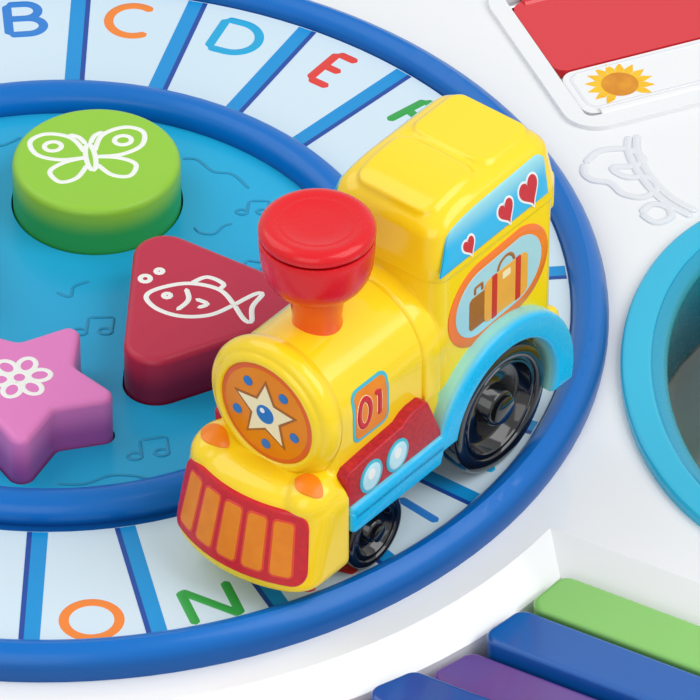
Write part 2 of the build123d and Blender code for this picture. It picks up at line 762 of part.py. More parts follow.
def bumper_block(shrink, top_z):
    """The bumper with its leaning curved nose and upright back, shrunk all round, as a loose solid."""
    height = top_z - bumper_bottom_z
    with BuildPart() as block:
        with BuildSketch(bumper_plane(bumper_bottom_z)) as bumper_plan:
            with Locations(((bumper_back_x + bumper_front_x) / 2, 0)):
                Rectangle(bumper_front_x - bumper_back_x - 2 * shrink, 2 * (bumper_half_width - shrink))
            with Locations((nose_back, 0)):
                Circle(bumper_nose_r - shrink, mode=Mode.INTERSECT)
            fillet(bumper_plan.vertices().group_by(Axis(train_plane.origin, train_plane.x_dir))[-1],
                   radius=bumper_corner - shrink)
        extrude(amount=height * bumper_stretch, dir=bumper_rise)
        with Locations(on_train(bumper_back_x + shrink, 0, bumper_bottom_z)):
            Box(2 * bumper_nose_r, 4 * bumper_half_width, 4 * height,
                align=(Align.MIN, Align.CENTER, Align.CENTER), mode=Mode.INTERSECT)
    return block.part


bumper_solid = bumper_block(0.0, bumper_top_z)
bumper_hollow = bumper_block(body_wall, bumper_top_z - body_wall)

with BuildPart() as train_body:
    with BuildSketch(train_section(cab_front_x - 2 * body_wall)):
        arch_profile(boiler_half_width)
    extrude(amount=boiler_front_x - cab_front_x + 2 * body_wall)
    with BuildSketch(train_section(boiler_front_x - boiler_rim_depth)):
        with Locations((0, boiler_axis_z)):
            Circle(boiler_rim_r)
    extrude(amount=boiler_rim_depth)
    with BuildSketch(train_plane.offset(base_plate_z)):
        with Locations(((cab_front_x + cab_rear_x) / 2, 0)):
            RectangleRounded(cab_front_x - cab_rear_x, 2 * body_half_width, cab_corner)
    extrude(amount=cab_top_z - base_plate_z)
    add(bumper_solid)
    # inner hollows
    with BuildSketch(train_section(cab_front_x + body_wall)):
        arch_profile(inner_half_width)
    extrude(amount=boiler_front_x - cab_front_x - 2 * body_wall - boiler_rim_depth, mode=Mode.SUBTRACT)
    with BuildSketch(train_plane.offset(base_plate_z)):
        with Locations(((cab_front_x + cab_rear_x) / 2, 0)):
            RectangleRounded(cab_front_x - cab_rear_x - 2 * body_wall, 2 * inner_half_width,
                             cab_corner - body_wall)
    extrude(amount=cab_top_z - base_plate_z, mode=Mode.SUBTRACT)
    add(bumper_hollow, mode=Mode.SUBTRACT)
    # wheel arches over the rear wheels
    for side in (1, -1):
        with Locations(on_train(rear_axle_x, side * (wheel_inner_y + wheel_width), rear_wheel_r, (90, 0, 0))):
            Cylinder(arch_r, 2 * wheel_width + 2 * ear_side_gap, mode=Mode.SUBTRACT)
    # bosses for the base plate's screws
    body_screws_at = [(bumper_back_x - 2 * boss_r, 0), (cab_front_x - body_wall - boss_r + boss_sink, 0),
                      (cab_rear_x + body_wall + boss_r - boss_sink, 0)]
    with BuildSketch(train_plane.offset(deck_level)):
        with Locations(*body_screws_at):
            Circle(boss_r)
            Circle(screw_r + screw_clearance, mode=Mode.SUBTRACT)
    extrude(amount=boiler_axis_z + inner_half_width + boss_sink - deck_level)
    # rebate for the base plate
    with BuildSketch(train_plane.offset(base_plate_z)):
        with Locations(((bumper_back_x + cab_rear_x + body_wall) / 2, 0)):
            Rectangle(bumper_back_x - cab_rear_x - body_wall, 2 * (wheel_inner_y - ear_side_gap + fit_gap))
    extrude(amount=base_plate_thickness, mode=Mode.SUBTRACT)
    # seat for the funnel
    with BuildSketch(train_plane.offset(boiler_axis_z)):
        with Locations((funnel_x, 0)):
            Circle(funnel_stem_r - body_wall)
    extrude(amount=boiler_half_width + 2, mode=Mode.SUBTRACT)
    # towing lug on the cab's back
    with BuildSketch(train_section(cab_rear_x + body_wall / 2)):
        with Locations((0, coupler_z)):
            RectangleRounded(2 * coupler_half_width, coupler_height, coupler_corner)
    extrude(amount=-(coupler_length + body_wall / 2))
save(train_body.part, "train_body")

with BuildPart() as train_roof:
    roof_half_width = body_half_width + roof_overhang
    roof_length = cab_front_x - cab_rear_x
    with BuildSketch(train_plane.offset(cab_top_z)):
        with Locations(((cab_front_x + cab_rear_x) / 2, 0)):
            RectangleRounded(roof_length, 2 * roof_half_width, cab_corner)
    extrude(amount=roof_top_z - cab_top_z, taper=roof_taper)
    fillet(train_roof.faces().sort_by(Axis.Z)[-1].edges(), radius=roof_round)
    with BuildSketch(train_plane.offset(cab_top_z)):
        with Locations(((cab_front_x + cab_rear_x) / 2, 0)):
            RectangleRounded(roof_length - 4 * body_wall, 2 * roof_half_width - 4 * body_wall,
                             cab_corner - body_wall)
    extrude(amount=roof_top_z - cab_top_z - 2 * body_wall, taper=roof_taper, mode=Mode.SUBTRACT)
    # lip that drops into the cab, and two raised panels
    with BuildSketch(train_plane.offset(cab_top_z)):
        with Locations(((cab_front_x + cab_rear_x) / 2, 0)):
            RectangleRounded(roof_length - 2 * body_wall - fit_gap, 2 * inner_half_width - fit_gap,
                             cab_corner - body_wall)
            RectangleRounded(roof_length - 4 * body_wall, 2 * inner_half_width - 2 * body_wall,
                             cab_corner - 2 * body_wall, mode=Mode.SUBTRACT)
    extrude(amount=-body_wall)
    panel_length = roof_length / 2 - roof_round - roof_panel_gap
    with BuildSketch(train_plane.offset(roof_top_z - body_wall)):
        with Locations((cab_rear_x + roof_round + panel_length / 2 + 1, 0),
                       (cab_front_x - roof_round - panel_length / 2 - 1, 0)):
            RectangleRounded(panel_length, 2 * (body_half_width - roof_round), roof_panel_corner)
    extrude(amount=body_wall + roof_panel_rise)
save(train_roof.part, "train_roof")

with BuildPart() as train_base_plate:
    with BuildSketch(train_plane.offset(base_plate_z)):
        with Locations(((bumper_back_x - fit_gap + cab_rear_x + body_wall + fit_gap) / 2, 0)):
            Rectangle(bumper_back_x - cab_rear_x - body_wall - 2 * fit_gap, 2 * (wheel_inner_y - ear_side_gap))
        with Locations(*body_screws_at):
            Circle(screw_r + screw_clearance, mode=Mode.SUBTRACT)
    extrude(amount=base_plate_thickness)
    for axle_x, axle_z in ((front_axle_x, front_wheel_r), (rear_axle_x, rear_wheel_r)):
        for side in (1, -1):
            ear_y = side * (wheel_inner_y - ear_side_gap - ear_thickness / 2)
            with Locations(on_train(axle_x, ear_y, axle_z - hub_r)):
                Box(2 * (hub_r + ear_margin), ear_thickness, base_plate_z - axle_z + hub_r,
                    align=(Align.CENTER, Align.CENTER, Align.MIN))
            with Locations(on_train(axle_x, ear_y, axle_z, (90, 0, 0))):
                Cylinder(axle_r + axle_fit, 2 * ear_thickness, mode=Mode.SUBTRACT)
save(train_base_plate.part, "train_base_plate")

with BuildPart() as train_screws:
    for x, y in body_screws_at:
        screw(on_train(x, y, base_plate_z), base_plate_thickness + train_screw_grip)
save(train_screws.part, "train_screws")

# ---------------------------------------------------------------- train: wheels and axles
for end, axle_x, radius in (("front", front_axle_x, front_wheel_r), ("rear", rear_axle_x, rear_wheel_r)):
    with BuildPart() as axle:
        with Locations(on_train(axle_x, 0, radius, (90, 0, 0))):
            Cylinder(axle_r, 2 * (wheel_outer_y - wheel_dish))
    save(axle.part, f"train_{end}_axle")
    for side, hand in ((1, "left"), (-1, "right")):
        with BuildPart() as wheel:
            with Locations(on_train(axle_x, side * (wheel_outer_y - wheel_width / 2), radius, (90, 0, 0))):
                Cylinder(radius, wheel_width)
            fillet(wheel.edges(), radius=wheel_edge_round)
            dish_depth = 2 * wheel_dish
            with Locations(on_train(axle_x, side * wheel_outer_y, radius, (90, 0, 0))):
                Cylinder(radius - wheel_rim, dish_depth, mode=Mode.SUBTRACT)
                Cylinder(hub_r, dish_depth)
            with Locations(on_train(axle_x, side * (wheel_outer_y + wheel_dish), radius, (90, 0, 0))):
                Cylinder(2 * hub_r, 2 * wheel_dish, mode=Mode.SUBTRACT)
            with Locations(on_train(axle_x, side * (wheel_inner_y - wheel_dish), radius, (90, 0, 0))):
                Cylinder(axle_r, 2 * wheel_width, mode=Mode.SUBTRACT)
        save(wheel.part, f"train_{end}_wheel_{hand}")

# ---------------------------------------------------------------- train: trim and funnel
for side, hand in ((1, "left"), (-1, "right")):
    inner_y = side * body_half_width
    outer_y = side * fender_outer_y
    reach = side * (fender_outer_y - body_half_width)
    with BuildPart() as fender:
        with BuildSketch(train_side(inner_y)):
            with Locations((rear_axle_x, rear_wheel_r)):
                Circle(arch_r + fender_thickness)
            with Locations((rear_axle_x, fender_bottom_z)):
                Rectangle(bumper_back_x - rear_axle_x, deck_bottom_z - fender_bottom_z,
                          align=(Align.MIN, Align.MIN))
            with Locations((rear_axle_x, rear_wheel_r)):
                Circle(arch_r, mode=Mode.SUBTRACT)
            with Locations((rear_axle_x, fender_end_z)):
                Rectangle(3 * arch_r, 2 * arch_r, align=(Align.CENTER, Align.MAX), mode=Mode.SUBTRACT)
        extrude(amount=-reach)
    save(fender.part, f"train_fender_{hand}")
    with BuildPart() as side_deck:
        with BuildSketch(train_side(inner_y)):
            with Locations(((deck_front_x + deck_back_x) / 2, (deck_bottom_z + deck_top_z) / 2)):
                Rectangle(deck_front_x - deck_back_x, deck_top_z - deck_bottom_z)
            with Locations((rear_axle_x, rear_wheel_r)):
                Circle(arch_r + fender_thickness, mode=Mode.SUBTRACT)
        extrude(amount=-side * deck_width)
    save(side_deck.part, f"train_deck_{hand}")

with BuildPart() as train_grille:
    with BuildSketch(bumper_plane(grille_bottom_z)):
        with Locations((nose_back, 0)):
            Circle(bumper_nose_r + grille_thickness)
            Circle(bumper_nose_r, mode=Mode.SUBTRACT)
        with Locations((nose_back, 0)):
            Rectangle(2 * bumper_nose_r, 2 * grille_half_width, align=(Align.MIN, Align.CENTER),
                      mode=Mode.INTERSECT)
    extrude(amount=(grille_top_z - grille_bottom_z) * bumper_stretch, dir=bumper_rise)
    bar_pitch = 2 * (grille_half_width - grille_side) / grille_bars
    for bar in range(grille_bars):
        with Locations(on_train(bumper_front_x, (bar - (grille_bars - 1) / 2) * bar_pitch,
                                (grille_bottom_z + grille_top_z) / 2)):
            Box(2 * bumper_nose_r, bar_pitch - grille_rib, grille_top_z - grille_bottom_z - 2 * grille_border,
                mode=Mode.SUBTRACT)
save(train_grille.part, "train_grille")

with BuildPart() as train_badge:
    with BuildSketch(train_section(boiler_front_x)):
        with Locations((0, boiler_axis_z)):
            Circle(badge_r)
    extrude(amount=badge_thickness)
    badge_front = train_badge.faces().sort_by(Axis(train_plane.origin, train_plane.x_dir))[-1]
    fillet(badge_front.edges(), radius=badge_thickness / 2)
save(train_badge.part, "train_badge")

funnel_floor_z = funnel_bowl_low_z + funnel_floor_rise
cap_bore_r = funnel_bowl_r - body_wall
with BuildPart() as train_funnel:
    with BuildSketch(Plane.XZ):
        with BuildLine():
            Polyline((0, boiler_axis_z + boiler_half_width), (funnel_stem_r, boiler_axis_z + boiler_half_width),
                     (funnel_stem_r, funnel_bowl_low_z - funnel_flare),
                     (funnel_stem_r + funnel_flare, funnel_bowl_low_z))
            ThreePointArc((funnel_stem_r + funnel_flare, funnel_bowl_low_z),
                          (0.89 * funnel_bowl_r, 0.59 * funnel_bowl_low_z + 0.41 * funnel_rim_z),
                          (funnel_bowl_r, funnel_rim_z))
            Polyline((funnel_bowl_r, funnel_rim_z), (cap_bore_r, funnel_rim_z),
                     (cap_bore_r, funnel_floor_z), (0, funnel_floor_z),
                     (0, boiler_axis_z + boiler_half_width))
        make_face()
    revolve(axis=Axis.Z)
save(on_train(funnel_x, 0, 0) * train_funnel.part, "train_funnel")

cap_seat_z = funnel_rim_z + funnel_cap_travel + fit_gap
with BuildPart() as train_funnel_cap:
    Cylinder(funnel_bowl_r, funnel_cap_rise, align=(Align.CENTER, Align.CENTER, Align.MIN))
    fillet(train_funnel_cap.edges().sort_by(Axis.Z)[-1], radius=funnel_cap_rise / 2)
    with BuildSketch(Plane.XY):
        Circle(cap_bore_r - fit_gap)
        Circle(cap_bore_r - fit_gap - body_wall / 2, mode=Mode.SUBTRACT)
    extrude(amount=funnel_floor_z + funnel_cap_travel + fit_gap - cap_seat_z)
save(on_train(funnel_x, 0, cap_seat_z) * train_funnel_cap.part, "train_funnel_cap")
cap_spring = coil_spring(button_spring_r, spring_wire_r, cap_seat_z - funnel_floor_z, spring_turns)
save(on_train(funnel_x, 0, funnel_floor_z) * cap_spring, "train_funnel_spring")

# ---------------------------------------------------------------- book: card, two leaves, two hinge pins
recess_floor = -(book_recess - casing_wall)            # floor of the recess in the book plane
leaf_length = book_length - 2 * book_border - 2 * leaf_side_gap

with BuildPart() as book_card:
    with BuildSketch(book_plane.offset(recess_floor)):
        with Locations((book_length / 2, book_depth / 2)):
            Rectangle(leaf_length, far_hinge_v - near_hinge_v - 2 * (knuckle_r + fit_gap))
    extrude(amount=card_thickness)
save(book_card.part, "book_card")

for name, hinge_v, free_v in (("white", near_hinge_v, leaf_seam_v - leaf_side_gap / 2),
                              ("red", far_hinge_v, leaf_seam_v + leaf_side_gap / 2)):
    inward = 1 if free_v > hinge_v else -1
    span = abs(free_v - hinge_v)
    with BuildPart() as leaf:
        with BuildSketch(book_plane.offset(-leaf_thickness)):
            with Locations((book_length / 2, hinge_v + inward * span / 2)):
                Rectangle(leaf_length, span)
        extrude(amount=leaf_thickness)
        fillet(leaf.edges().filter_by(Axis.Z), radius=leaf_corner)
        with Locations(book_plane.location * Location((book_length / 2, hinge_v, hinge_z), (0, 90, 0))):
            Cylinder(knuckle_r, leaf_length - 2 * leaf_corner)
            Cylinder(hinge_pin_r + hinge_fit, leaf_length, mode=Mode.SUBTRACT)
    save(leaf.part, f"book_leaf_{name}")

with BuildPart() as book_pins:
    for hinge_v in (near_hinge_v, far_hinge_v):
        with Locations(book_plane.location * Location((book_length / 2, hinge_v, hinge_z), (0, 90, 0))):
            Cylinder(hinge_pin_r, book_length - 2 * book_border + 2 * rod_seat - fit_gap)
save(book_pins.part, "book_pins")

# ---------------------------------------------------------------- roller with its bezel and axle
with BuildPart() as roller_bezel:
    with BuildSketch(roller_plane):
        Ellipse(roller_half_width, roller_half_depth)
        Ellipse(roller_half_width - bezel_width, roller_half_depth - bezel_width, mode=Mode.SUBTRACT)
    extrude(amount=bezel_rise)
    fillet(roller_bezel.faces().sort_by(Axis.Z)[-1].edges(), radius=bezel_rise / 2.5)
save(roller_bezel.part, "roller_bezel")

with BuildPart() as roller_drum:
    with BuildSketch(Plane.YZ):
        with BuildLine():
            Polyline((-roller_length / 2, 0), (-roller_length / 2, roller_end_r))
            ThreePointArc((-roller_length / 2, roller_end_r), (0, roller_r), (roller_length / 2, roller_end_r))
            Polyline((roller_length / 2, roller_end_r), (roller_length / 2, 0), (-roller_length / 2, 0))
        make_face()
    revolve(axis=Axis.Y)
    for rib in range(roller_ribs):
        turn = 360 * rib / roller_ribs
        with Locations(Rot(0, turn, 0) * Location((roller_r - roller_rib_r / 2, 0, 0), (90, 0, 0))):
            Cylinder(roller_rib_r, roller_length * 0.55)
    with Locations(Location((0, 0, 0), (90, 0, 0))):
        Cylinder(roller_axle_r + axle_fit, roller_length, mode=Mode.SUBTRACT)
save(Pos(roller_x, roller_y, roller_axis_z) * roller_drum.part, "roller_drum")

with BuildPart() as roller_axle:
    with Locations(Location((roller_x, roller_y, roller_axis_z), (90, 0, 0))):
        Cylinder(roller_axle_r, roller_length + 2 * fit_gap + 2 * roller_ear_thickness)
save(roller_axle.part, "roller_axle")

# ---------------------------------------------------------------- piano: keys, pivot rod, dome strip
dome_top_drop = piano_well_depth - casing_wall - dome_strip_thickness - dome_height

for key in range(key_count):
    across = key_first_offset + key * key_pitch + key_width / 2
    back = sqrt(key_back_r ** 2 - (across + key_width / 2) ** 2)
    top = key_drop + (key_step if key + 1 in low_keys else 0.0)
    with BuildPart() as piano_key:
        with BuildSketch(piano_plane.offset(top)) as key_plan:
            with Locations((back + key_length / 2, across)):
                Rectangle(key_length, key_width)
            Circle(key_back_r, mode=Mode.SUBTRACT)
            fillet(key_plan.vertices(), radius=key_end_round)
        extrude(amount=key_skirt)
        fillet(piano_key.faces().sort_by(Axis.Z)[-1].edges(), radius=key_edge_round)
        with BuildSketch(piano_plane.offset(top + key_wall)) as key_hollow:
            with Locations((back + key_length / 2, across)):
                Rectangle(key_length - 2 * key_wall, key_width - 2 * key_wall)
            Circle(key_back_r + key_wall, mode=Mode.SUBTRACT)
            fillet(key_hollow.vertices(), radius=key_end_round - key_wall)
        extrude(amount=key_skirt, mode=Mode.SUBTRACT)
        # pivot bosses down to the rod, and the post that presses its dome
        with BuildSketch(piano_plane.offset(top + key_wall / 2)):
            with Locations((pivot_along, across)):
                Rectangle(2 * (pivot_rod_r + pivot_boss_wall), key_width - 2 * key_wall)
            with Locations((back + key_length - dome_end, across)):
                Circle(dome_r)
        extrude(amount=pivot_drop - top - key_wall / 2)
        with Locations(on_piano(pivot_along, across, pivot_drop, (90, 0, 0))):
            Cylinder(pivot_rod_r + pivot_boss_wall, key_width - 2 * key_wall)
            Cylinder(pivot_rod_r + pivot_fit, key_width, mode=Mode.SUBTRACT)
        with BuildSketch(piano_plane.offset(pivot_drop - key_wall)):
            with Locations((back + key_length - dome_end, across)):
                Circle(dome_r)
        extrude(amount=dome_top_drop - dome_gap - pivot_drop + key_wall)
    save(piano_key.part, f"piano_key_{key + 1}")

with BuildPart() as piano_rod:
    with Locations(on_piano(pivot_along, (rod_first + rod_last) / 2, pivot_drop, (90, 0, 0))):
        Cylinder(pivot_rod_r, rod_last - rod_first + 2 * rod_seat - fit_gap)
save(piano_rod.part, "piano_rod")

with BuildPart() as dome_strip:
    strip_drop = piano_well_depth - casing_wall
    spots = []
    for key in range(key_count):
        across = key_first_offset + key * key_pitch + key_width / 2
        back = sqrt(key_back_r ** 2 - (across + key_width / 2) ** 2)
        spots.append((back + key_length - dome_end, across))
    with BuildSketch(piano_plane.offset(strip_drop)):
        with Locations(*spots):
            RectangleRounded(strip_length, key_pitch + 2 * strip_overlap, dome_r)
    extrude(amount=-dome_strip_thickness)
    with BuildSketch(piano_plane.offset(strip_drop - dome_strip_thickness)):
        with Locations(*spots):
            Circle(dome_r)
    extrude(amount=-dome_height, taper=dome_taper)
save(dome_strip.part, "dome_strip")

# ---------------------------------------------------------------- speaker, boards, switch, batteries
with BuildPart() as speaker:
    with Locations((speaker_x, speaker_y, top_underside_z)):
        Cylinder(speaker_r, speaker_depth * 0.3, align=(Align.CENTER, Align.CENTER, Align.MAX))
    with BuildSketch(Plane.XY.offset(top_underside_z - speaker_depth * 0.3)):
        with Locations((speaker_x, speaker_y)):
            Circle(speaker_r - boss_wall)
    with BuildSketch(Plane.XY.offset(top_underside_z - speaker_depth * 0.7)):
        with Locations((speaker_x, speaker_y)):
            Circle(speaker_magnet_r)
    loft()
    with Locations((speaker_x, speaker_y, top_underside_z - speaker_depth * 0.7)):
        Cylinder(speaker_magnet_r, speaker_depth * 0.3, align=(Align.CENTER, Align.CENTER, Align.MAX))
    # hollow of the cone, open towards the grille
    with Locations((speaker_x, speaker_y, top_underside_z)):
        Cone(speaker_magnet_r - boss_wall, speaker_r - boss_wall, speaker_depth * 0.4,
             align=(Align.CENTER, Align.CENTER, Align.MAX), mode=Mode.SUBTRACT)
save(speaker.part, "speaker")

with BuildPart() as main_board:
    with BuildSketch(Plane.XY.offset(main_board_z)):
        with Locations((main_board_x, main_board_y)):
            Rectangle(main_board_length, main_board_width)
    extrude(amount=board_thickness)
    with Locations((main_board_x, main_board_y, main_board_z + board_thickness)):
        Box(chip_side, chip_side, chip_height, align=(Align.CENTER, Align.CENTER, Align.MIN))
        with Locations((-capacitor_along, capacitor_aside), (-capacitor_along, -capacitor_aside),
                       (capacitor_along, 0)):
            Cylinder(capacitor_r, capacitor_height, align=(Align.CENTER, Align.CENTER, Align.MIN))
save(main_board.part, "main_board")

with BuildPart() as switch_slider:
    with Locations((switch_x, switch_y, top_underside_z - fit_gap)):
        Box(slider_length, slider_width, slider_thickness, align=(Align.CENTER, Align.CENTER, Align.MAX))
    with BuildSketch(Plane.XY.offset(top_underside_z - fit_gap)):
        with Locations((switch_x, switch_y)):
            SlotOverall(knob_length, switch_slot_width - 2 * fit_gap)
    extrude(amount=casing_wall + fit_gap + switch_rise)
    fillet(switch_slider.edges().group_by(Axis.Z)[-1], radius=knob_round)
save(switch_slider.part, "switch_slider")

cell_pitch = 2 * battery_r + battery_gap
cell_z = base_z + door_thickness + fit_gap + battery_r
cell_spots = [(battery_y + (cell - (battery_count - 1) / 2) * cell_pitch, -1 if cell % 2 else 1)
              for cell in range(battery_count)]
with BuildPart() as battery_cells:
    for y, way in cell_spots:
        with Locations(Location((-way * cell_nub / 2, y, cell_z), (0, 90, 0))):
            Cylinder(battery_r, battery_length - cell_nub)
        with Locations(Location((way * (battery_length - cell_nub) / 2, y, cell_z), (0, 90, 0))):
            Cylinder(battery_r * 0.38, cell_nub)
save(battery_cells.part, "battery_cells")

with BuildPart() as battery_contacts:
    reach = (bay_length - battery_length) / 2
    for y, way in cell_spots:
        for end in (1, -1):
            with Locations((end * (bay_length / 2), y, cell_z)):
                Box(contact_plate, battery_r, battery_r, align=(Align.MAX if end > 0 else Align.MIN,
                                                               Align.CENTER, Align.CENTER))
            with Locations(Location((end * (bay_length / 2 - reach / 2), y, cell_z), (0, 90, 0))):
                Cylinder(battery_r * 0.3, reach)
save(battery_contacts.part, "battery_contacts")

with BuildPart() as battery_door:
    with BuildSketch(Plane.XY.offset(base_z)):
        with Locations((0, battery_y)):
            Rectangle(door_length, door_width)
        with Locations((door_screw_x, battery_y)):
            Circle(screw_r + screw_clearance, mode=Mode.SUBTRACT)
    extrude(amount=door_thickness)
save(battery_door.part, "battery_door")

with BuildPart() as door_screw:
    screw(Location((door_screw_x, battery_y, base_z)), screw_grip)
save(door_screw.part, "door_screw")

with BuildPart() as casing_screws:
    for spot in casing_screws_at:
        screw(spot * Location((0, 0, base_z + base_height / 2)), screw_grip + base_height / 2)
    for x, y in legs_at.values():
        side = 1 if x > 0 else -1
        screw(Location((x + side * socket_outer_r, y, base_z - socket_depth / 2), (0, -side * 90, 0)),
              socket_wall + leg_wall + 2)
    for spot in board_posts_at.locations:
        screw(spot * Location((0, 0, board_top_z - board_thickness)), screw_grip)
save(casing_screws.part, "casing_screws")
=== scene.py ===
"""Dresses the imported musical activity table: prints, line art, a detailed train, finishes, light and camera.

Lengths are in millimetres in the sizes and outlines below and become metres when a mesh is placed.
"""

from __future__ import annotations

import json
import logging
import math
from dataclasses import dataclass, field
from enum import Enum
from typing import Callable, Sequence

import bmesh
import bpy
from mathutils import Matrix, Vector

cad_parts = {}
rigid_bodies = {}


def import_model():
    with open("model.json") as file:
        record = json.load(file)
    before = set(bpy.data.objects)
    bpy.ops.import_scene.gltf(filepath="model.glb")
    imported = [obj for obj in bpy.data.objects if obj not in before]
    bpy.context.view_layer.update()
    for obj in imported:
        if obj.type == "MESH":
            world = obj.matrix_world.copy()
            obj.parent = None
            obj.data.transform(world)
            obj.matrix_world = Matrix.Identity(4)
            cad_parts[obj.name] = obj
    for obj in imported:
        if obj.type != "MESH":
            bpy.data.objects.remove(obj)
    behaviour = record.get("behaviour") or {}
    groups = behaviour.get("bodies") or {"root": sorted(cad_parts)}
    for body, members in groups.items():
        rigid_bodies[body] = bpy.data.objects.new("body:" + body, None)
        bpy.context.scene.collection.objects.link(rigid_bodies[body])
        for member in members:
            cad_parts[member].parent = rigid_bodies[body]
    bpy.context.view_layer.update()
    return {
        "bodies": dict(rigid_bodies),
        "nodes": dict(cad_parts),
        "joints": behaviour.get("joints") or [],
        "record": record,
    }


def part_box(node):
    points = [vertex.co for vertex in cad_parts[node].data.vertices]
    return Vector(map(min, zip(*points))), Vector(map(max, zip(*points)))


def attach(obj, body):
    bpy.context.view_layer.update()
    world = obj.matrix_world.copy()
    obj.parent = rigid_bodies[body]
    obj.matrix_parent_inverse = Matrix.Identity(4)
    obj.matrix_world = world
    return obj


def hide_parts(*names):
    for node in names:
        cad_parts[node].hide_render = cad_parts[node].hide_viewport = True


LOG = logging.getLogger("activity_table")
MM = 0.001
CREASE = 38.0
SIDES = (("left", 1), ("right", -1))
Point = tuple[float, float]
Point3 = tuple[float, float, float]
Place = Callable[[float, float, float], Point3]
Tree = bpy.types.NodeTree
Socket = bpy.types.NodeSocket


# ---------------------------------------------------------------- nodes and objects
def add(tree: Tree, kind: str, inputs: dict | None = None, **settings: object) -> bpy.types.Node:
    """Add a node to a tree.

    Args:
        tree: where the node goes.
        kind: its type's name.
        inputs: for each input, a socket to link from or a plain value.
        settings: the node's own properties.

    Returns:
        The node.
    """
    made = tree.nodes.new(kind)
    for label, value in settings.items():
        setattr(made, label, value)
    for label, value in (inputs or {}).items():
        if isinstance(value, Socket):
            tree.links.new(value, made.inputs[label])
        else:
            made.inputs[label].default_value = value
    return made


def calc(tree: Tree, operation: str, *values: object, clamp: bool = False) -> Socket:
    """Add a calculation with one or two values, each a socket or a number."""
    made = add(tree, "ShaderNodeMath", dict(enumerate(values)), operation=operation, use_clamp=clamp)
    return made.outputs[0]


def linked(name: str, data: bpy.types.ID) -> bpy.types.Object:
    """Make an object of a mesh, lamp or camera and link it to the scene."""
    made = bpy.data.objects.new(name, data)
    bpy.context.scene.collection.objects.link(made)
    return made


def baked(work: bpy.types.Object, name: str) -> bpy.types.Mesh:
    """Turn an object with its modifiers into a plain mesh and remove the object.

    Args:
        work: the object.
        name: the mesh's name.

    Returns:
        The mesh.
    """
    bpy.context.view_layer.update()
    graph = bpy.context.evaluated_depsgraph_get()
    mesh = bpy.data.meshes.new_from_object(work.evaluated_get(graph))
    mesh.name = name
    bpy.data.objects.remove(work)
    return mesh


# ---------------------------------------------------------------- finishes
def linear(code: str) -> tuple[float, float, float, float]:
    """Turn a hex colour of six digits, as seen on screen, into linear red, green, blue and alpha."""
    parts = [int(code[i:i + 2], 16) / 255 for i in (0, 2, 4)]
    lit = [c / 12.92 if c <= 0.04045 else ((c + 0.055) / 1.055) ** 2.4 for c in parts]
    return lit[0], lit[1], lit[2], 1.0


@dataclass(frozen=True)
class Fade:
    """A colour that takes over along a direction, from one depth to another, in the table's frame."""

    colour: str
    along: Point3
    start: float
    end: float


@dataclass(frozen=True)
class Finish:
    """One moulded, printed or metal surface, with its drift of colour, gloss and fine grain."""

    colour: str
    drift_to: str
    roughness: float
    coat: float = 0.25
    drift: float = 0.35
    drift_scale: float = 14.0
    gloss_spread: float = 0.06
    metallic: float = 0.0
    grain: float = 0.02
    grain_scale: float = 700.0
    fade: Fade | None = None
    name: str = ""

    def __set_name__(self, owner: type, name: str) -> None:
        """Take the name of the class attribute that holds this finish."""
        object.__setattr__(self, "name", name)

    def material(self) -> bpy.types.Material:
        """Build the node material, or return it if it is there already.

        Returns:
            The material named after this finish.
        """
        known = bpy.data.materials.get("finish_" + self.name)
        if known:
            return known
        made = bpy.data.materials.new("finish_" + self.name)
        made.use_nodes = True
        made.diffuse_color = linear(self.colour)
        tree = made.node_tree
        tree.nodes.clear()
        place = add(tree, "ShaderNodeTexCoord").outputs["Object"]
        drift = self._noise(tree, place, self.drift_scale, 3.0)
        share = add(tree, "ShaderNodeMapRange",
                    {"Value": drift, "From Min": 0.35, "From Max": 0.65, "To Max": self.drift})
        colour = self._blend(tree, share.outputs["Result"], linear(self.colour), self.drift_to)
        if self.fade:
            colour = self._faded(tree, place, colour)
        fine = self._noise(tree, place, self.grain_scale, 2.0)
        gloss = add(tree, "ShaderNodeMapRange",
                    {"Value": fine, "To Min": max(0.03, self.roughness - self.gloss_spread),
                     "To Max": self.roughness + self.gloss_spread})
        bump = add(tree, "ShaderNodeBump", {"Strength": 0.5, "Distance": self.grain * MM, "Height": fine})
        shader = add(tree, "ShaderNodeBsdfPrincipled",
                     {"Base Color": colour, "Roughness": gloss.outputs["Result"],
                      "Normal": bump.outputs["Normal"], "Metallic": self.metallic, "Coat Weight": self.coat,
                      "Coat Roughness": 0.08, "Specular IOR Level": 0.24})
        add(tree, "ShaderNodeOutputMaterial", {"Surface": shader.outputs["BSDF"]})
        return made

    @staticmethod
    def _noise(tree: Tree, place: Socket, scale: float, detail: float) -> Socket:
        """Add a noise read at the piece's own coordinates."""
        noise = add(tree, "ShaderNodeTexNoise", {"Scale": scale, "Detail": detail, "Vector": place})
        return noise.outputs["Fac"]

    @staticmethod
    def _blend(tree: Tree, share: Socket, first: object, second: str) -> Socket:
        """Add a mix of a colour or a socket with a second colour, by a share."""
        mix = add(tree, "ShaderNodeMix", {0: share, 6: first, 7: linear(second)}, data_type="RGBA")
        return mix.outputs[2]

    def _faded(self, tree: Tree, place: Socket, base: Socket) -> Socket:
        """Let the fade's colour take over along its direction.

        Args:
            tree: the material's tree.
            place: the piece's own coordinates.
            base: the colour before the fade.

        Returns:
            The colour with the fade in it.
        """
        depth = add(tree, "ShaderNodeVectorMath", {0: place, 1: self.fade.along}, operation="DOT_PRODUCT")
        reach = add(tree, "ShaderNodeMapRange",
                    {"Value": depth.outputs["Value"], "From Min": self.fade.start * MM,
                     "From Max": self.fade.end * MM}, interpolation_type="SMOOTHSTEP")
        return self._blend(tree, reach.outputs["Result"], base, self.fade.colour)


